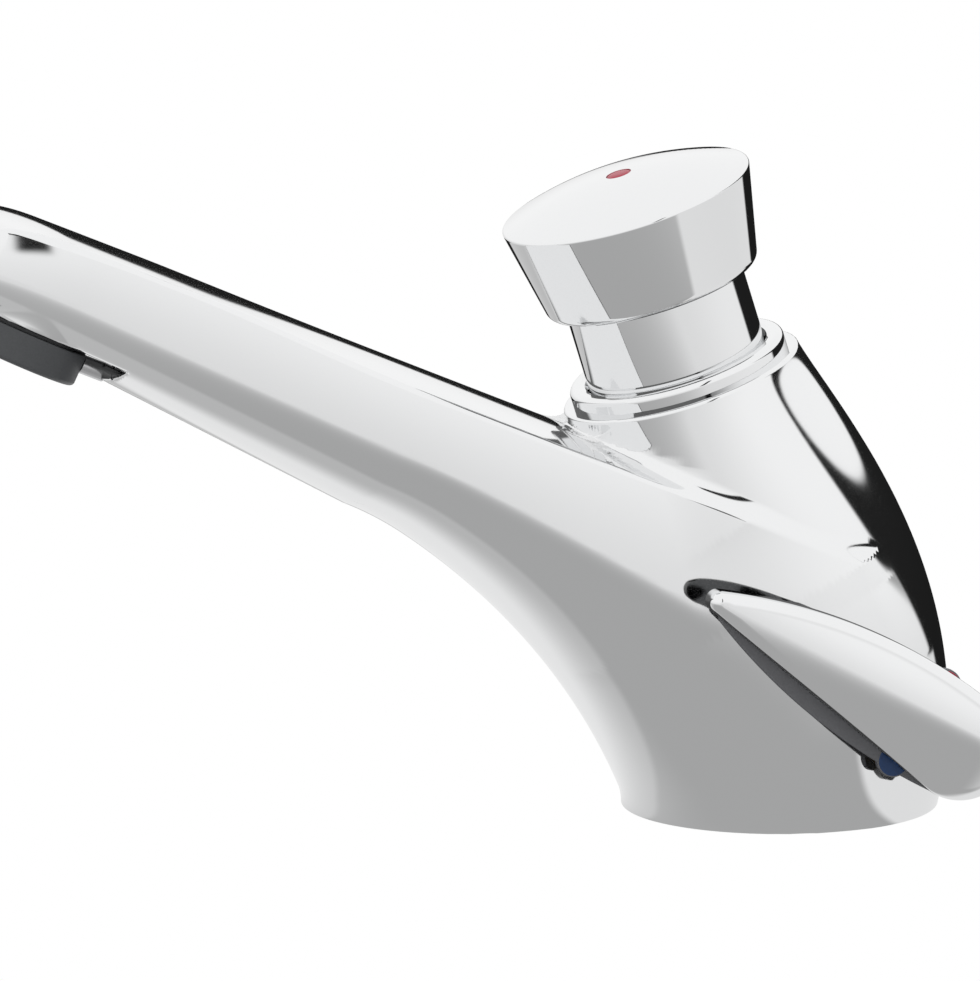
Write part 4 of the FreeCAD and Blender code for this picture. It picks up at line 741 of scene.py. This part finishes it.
CAMERA_AZIMUTH, CAMERA_HEIGHT = math.radians(-16.0), math.radians(11.1)
CAMERA_TARGET, CAMERA_DISTANCE, CAMERA_LENS = Vector((-0.0413, 0.0217, 0.0484)), 4.747, 1102.0
back = Vector((math.sin(CAMERA_AZIMUTH) * math.cos(CAMERA_HEIGHT),
               -math.cos(CAMERA_AZIMUTH) * math.cos(CAMERA_HEIGHT), math.sin(CAMERA_HEIGHT)))
camera_data = bpy.data.cameras.new("camera")
camera_data.sensor_width = 36.0
camera_data.lens = CAMERA_LENS
camera_data.clip_end = 20.0
camera = bpy.data.objects.new("camera", camera_data)
camera.location = CAMERA_TARGET + back * CAMERA_DISTANCE
camera.rotation_euler = (-back).to_track_quat("-Z", "Y").to_euler()
bpy.context.collection.objects.link(camera)
bpy.context.scene.camera = camera

# Room: white all round and a little dimmer towards the ground, with a black card behind the tap on
# the right and a narrow one in front, which draw the dark bands on the plating. What is mirrored a
# second time is darker low down. The camera sees plain white.

CARD_LEFT, CARD_RIGHT, CARD_TOP = (-3, -1), (56, 60), (0.5, 1.5)
CARD_LEAN, CARD_SLOPE, CARD_BLACK = 2.0, 0.2, 0.985
STRIP_LEFT, STRIP_RIGHT, STRIP_LOW, STRIP_HIGH = (156, 158), (162, 164), (4, 7), (40, 45)
GROUND_LIGHT, GROUND_EDGE = 0.8, (-12, 14)
TWICE_DARK, TWICE_EDGE, TWICE_IN_ROOM, TWICE_ON_FLOOR = 0.85, (15, 30), 2.5, 1.5
world = bpy.data.worlds.new("studio")
bpy.context.scene.world = world
world.use_nodes = True
nodes, links = world.node_tree.nodes, world.node_tree.links
nodes.clear()


def calculate(kind, *values):
    """A Math node in the tree at hand: a number sets an input, and a node's output is joined to it."""
    node = nodes.new("ShaderNodeMath")
    node.operation = kind
    for socket, value in zip(node.inputs, values):
        if isinstance(value, (int, float)):
            socket.default_value = value
        else:
            links.new(value, socket)
    return node.outputs[0]


def plus(first, second):
    """first + second."""
    return calculate("ADD", first, second)


def times(first, second):
    """first * second."""
    return calculate("MULTIPLY", first, second)


def without(value, mask):
    """value * (1 - mask)."""
    return times(value, calculate("SUBTRACT", 1.0, mask))


def edge(source, start, stop):
    """A soft step from 0 at start to 1 at stop."""
    node = nodes.new("ShaderNodeMapRange")
    node.interpolation_type = "SMOOTHSTEP"
    links.new(source, node.inputs["Value"])
    node.inputs["From Min"].default_value = start
    node.inputs["From Max"].default_value = stop
    return node.outputs["Result"]


def as_the_camera_faces(coordinates):
    """Right, ahead and up: coordinates turned about the upright until y points away from the camera."""
    place = nodes.new("ShaderNodeTexCoord")
    turn = nodes.new("ShaderNodeVectorRotate")
    turn.rotation_type = "Z_AXIS"
    turn.inputs["Angle"].default_value = -CAMERA_AZIMUTH
    links.new(place.outputs[coordinates], turn.inputs["Vector"])
    split = nodes.new("ShaderNodeSeparateXYZ")
    links.new(turn.outputs["Vector"], split.inputs["Vector"])
    return [split.outputs[name] for name in "XYZ"]


right, ahead, up = as_the_camera_faces("Generated")
azimuth = times(calculate("ARCTAN2", right, ahead), 180 / math.pi)
elevation = times(calculate("ARCSINE", up), 180 / math.pi)
leaning = calculate("SUBTRACT", azimuth, times(elevation, CARD_LEAN))
over_card = calculate("SUBTRACT", elevation, times(azimuth, CARD_SLOPE))
card = without(without(edge(azimuth, *CARD_LEFT), edge(leaning, *CARD_RIGHT)), edge(over_card, *CARD_TOP))
strip = times(without(edge(azimuth, *STRIP_LEFT), edge(azimuth, *STRIP_RIGHT)),
              without(edge(elevation, *STRIP_LOW), edge(elevation, *STRIP_HIGH)))
path = nodes.new("ShaderNodeLightPath")
twice = without(calculate("GREATER_THAN", path.outputs["Ray Depth"], TWICE_IN_ROOM),
                edge(elevation, *TWICE_EDGE))
light = plus(GROUND_LIGHT, times(edge(elevation, *GROUND_EDGE), 1 - GROUND_LIGHT))
light = without(light, times(calculate("MAXIMUM", card, strip), CARD_BLACK))
light = without(light, times(twice, TWICE_DARK))
studio = nodes.new("ShaderNodeBackground")
studio.inputs["Color"].default_value = (1.0, 1.0, 1.0, 1.0)
links.new(light, studio.inputs["Strength"])
plain = nodes.new("ShaderNodeBackground")
plain.inputs["Color"].default_value = (1.0, 1.0, 1.0, 1.0)
plain.inputs["Strength"].default_value = 1.0
mix = nodes.new("ShaderNodeMixShader")
links.new(path.outputs["Is Camera Ray"], mix.inputs["Fac"])
links.new(studio.outputs["Background"], mix.inputs[1])
links.new(plain.outputs["Background"], mix.inputs[2])
output = nodes.new("ShaderNodeOutputWorld")
links.new(mix.outputs["Shader"], output.inputs["Surface"])

# Floor: a pale round board under the tap, plain white to the camera. In the plating it glows with
# painted light that stands in for the room's light and shade: grey near by, lighter to the left, to
# the right, far off and under the spout, and black behind the tap.

FLOOR_RADIUS, FLOOR_CORNERS, FLOOR_TINT = 0.4, 96, (0.9, 0.9, 0.9, 1.0)
NEAR_SHINE, LEFT_SHINE, RIGHT_SHINE, FAR_SHINE, SPOUT_SHINE = 0.42, 0.1, 0.4, 0.8, 0.35
TO_LEFT, TO_RIGHT, FAR_OFF = (-62, -56), (44, 50), (0.1, 0.4)
SPOUT_AHEAD_EDGE, SPOUT_RIGHT_EDGE, SPOUT_FAR_EDGE = (-0.03, 0.01), (-0.03, 0.0), (0.13, 0.16)
BLACK_AHEAD, BLACK_RIGHT, BLACK_ROUND = (0.2, 0.22), (-0.25, -0.2), (130, 134)
floor_mesh = bpy.data.meshes.new("floor")
turn = np.linspace(0, 2 * math.pi, FLOOR_CORNERS, endpoint=False)
floor_points = FLOOR_RADIUS * np.stack([np.cos(turn), np.sin(turn), 0 * turn], axis=1)
floor_mesh.from_pydata(floor_points.tolist(), [], [list(range(FLOOR_CORNERS))])
floor = bpy.data.objects.new("floor", floor_mesh)
bpy.context.collection.objects.link(floor)
floor_paint = bpy.data.materials.new("floor_paint")
floor_paint.use_nodes = True
nodes, links = floor_paint.node_tree.nodes, floor_paint.node_tree.links
paint = nodes["Principled BSDF"]
paint.inputs["Base Color"].default_value = FLOOR_TINT
paint.inputs["Roughness"].default_value = 0.9
right, ahead, _ = as_the_camera_faces("Object")
around = times(calculate("ARCTAN2", right, times(ahead, -1.0)), 180 / math.pi)
distance = calculate("SQRT", plus(times(right, right), times(ahead, ahead)))
# Painted light: the floor's brightness as the plating mirrors it, grey near by and lighter round about.
shine = plus(NEAR_SHINE, plus(times(without(1.0, edge(around, *TO_LEFT)), LEFT_SHINE),
                              times(edge(around, *TO_RIGHT), RIGHT_SHINE)))
shine = plus(shine, times(edge(distance, *FAR_OFF), calculate("SUBTRACT", FAR_SHINE, shine)))
# Painted light: a lighter patch under the spout, which the spout's underside mirrors.
under_spout = without(without(edge(ahead, *SPOUT_AHEAD_EDGE), edge(right, *SPOUT_RIGHT_EDGE)),
                      edge(distance, *SPOUT_FAR_EDGE))
shine = plus(shine, times(under_spout, SPOUT_SHINE))
# Painted shade: a black patch behind the tap, like the room's black card.
black = calculate("MAXIMUM", times(edge(ahead, *BLACK_AHEAD), edge(right, *BLACK_RIGHT)),
                  edge(around, *BLACK_ROUND))
shine = without(shine, times(black, CARD_BLACK))
path = nodes.new("ShaderNodeLightPath")
twice = calculate("GREATER_THAN", path.outputs["Ray Depth"], TWICE_ON_FLOOR)
shine = without(shine, times(twice, TWICE_DARK))
# Mirrored rays see an emission of this painted strength, not the lit paint of the board.
seen_by_camera = nodes.new("ShaderNodeEmission")
mirrored = nodes.new("ShaderNodeEmission")
links.new(shine, mirrored.inputs["Strength"])
first, second = nodes.new("ShaderNodeMixShader"), nodes.new("ShaderNodeMixShader")
links.new(path.outputs["Is Glossy Ray"], first.inputs["Fac"])
links.new(paint.outputs["BSDF"], first.inputs[1])
links.new(mirrored.outputs["Emission"], first.inputs[2])
links.new(path.outputs["Is Camera Ray"], second.inputs["Fac"])
links.new(first.outputs["Shader"], second.inputs[1])
links.new(seen_by_camera.outputs["Emission"], second.inputs[2])
links.new(second.outputs["Shader"], nodes["Material Output"].inputs["Surface"])
floor_mesh.materials.append(floor_paint)
bpy.context.scene.view_settings.view_transform = "Standard"
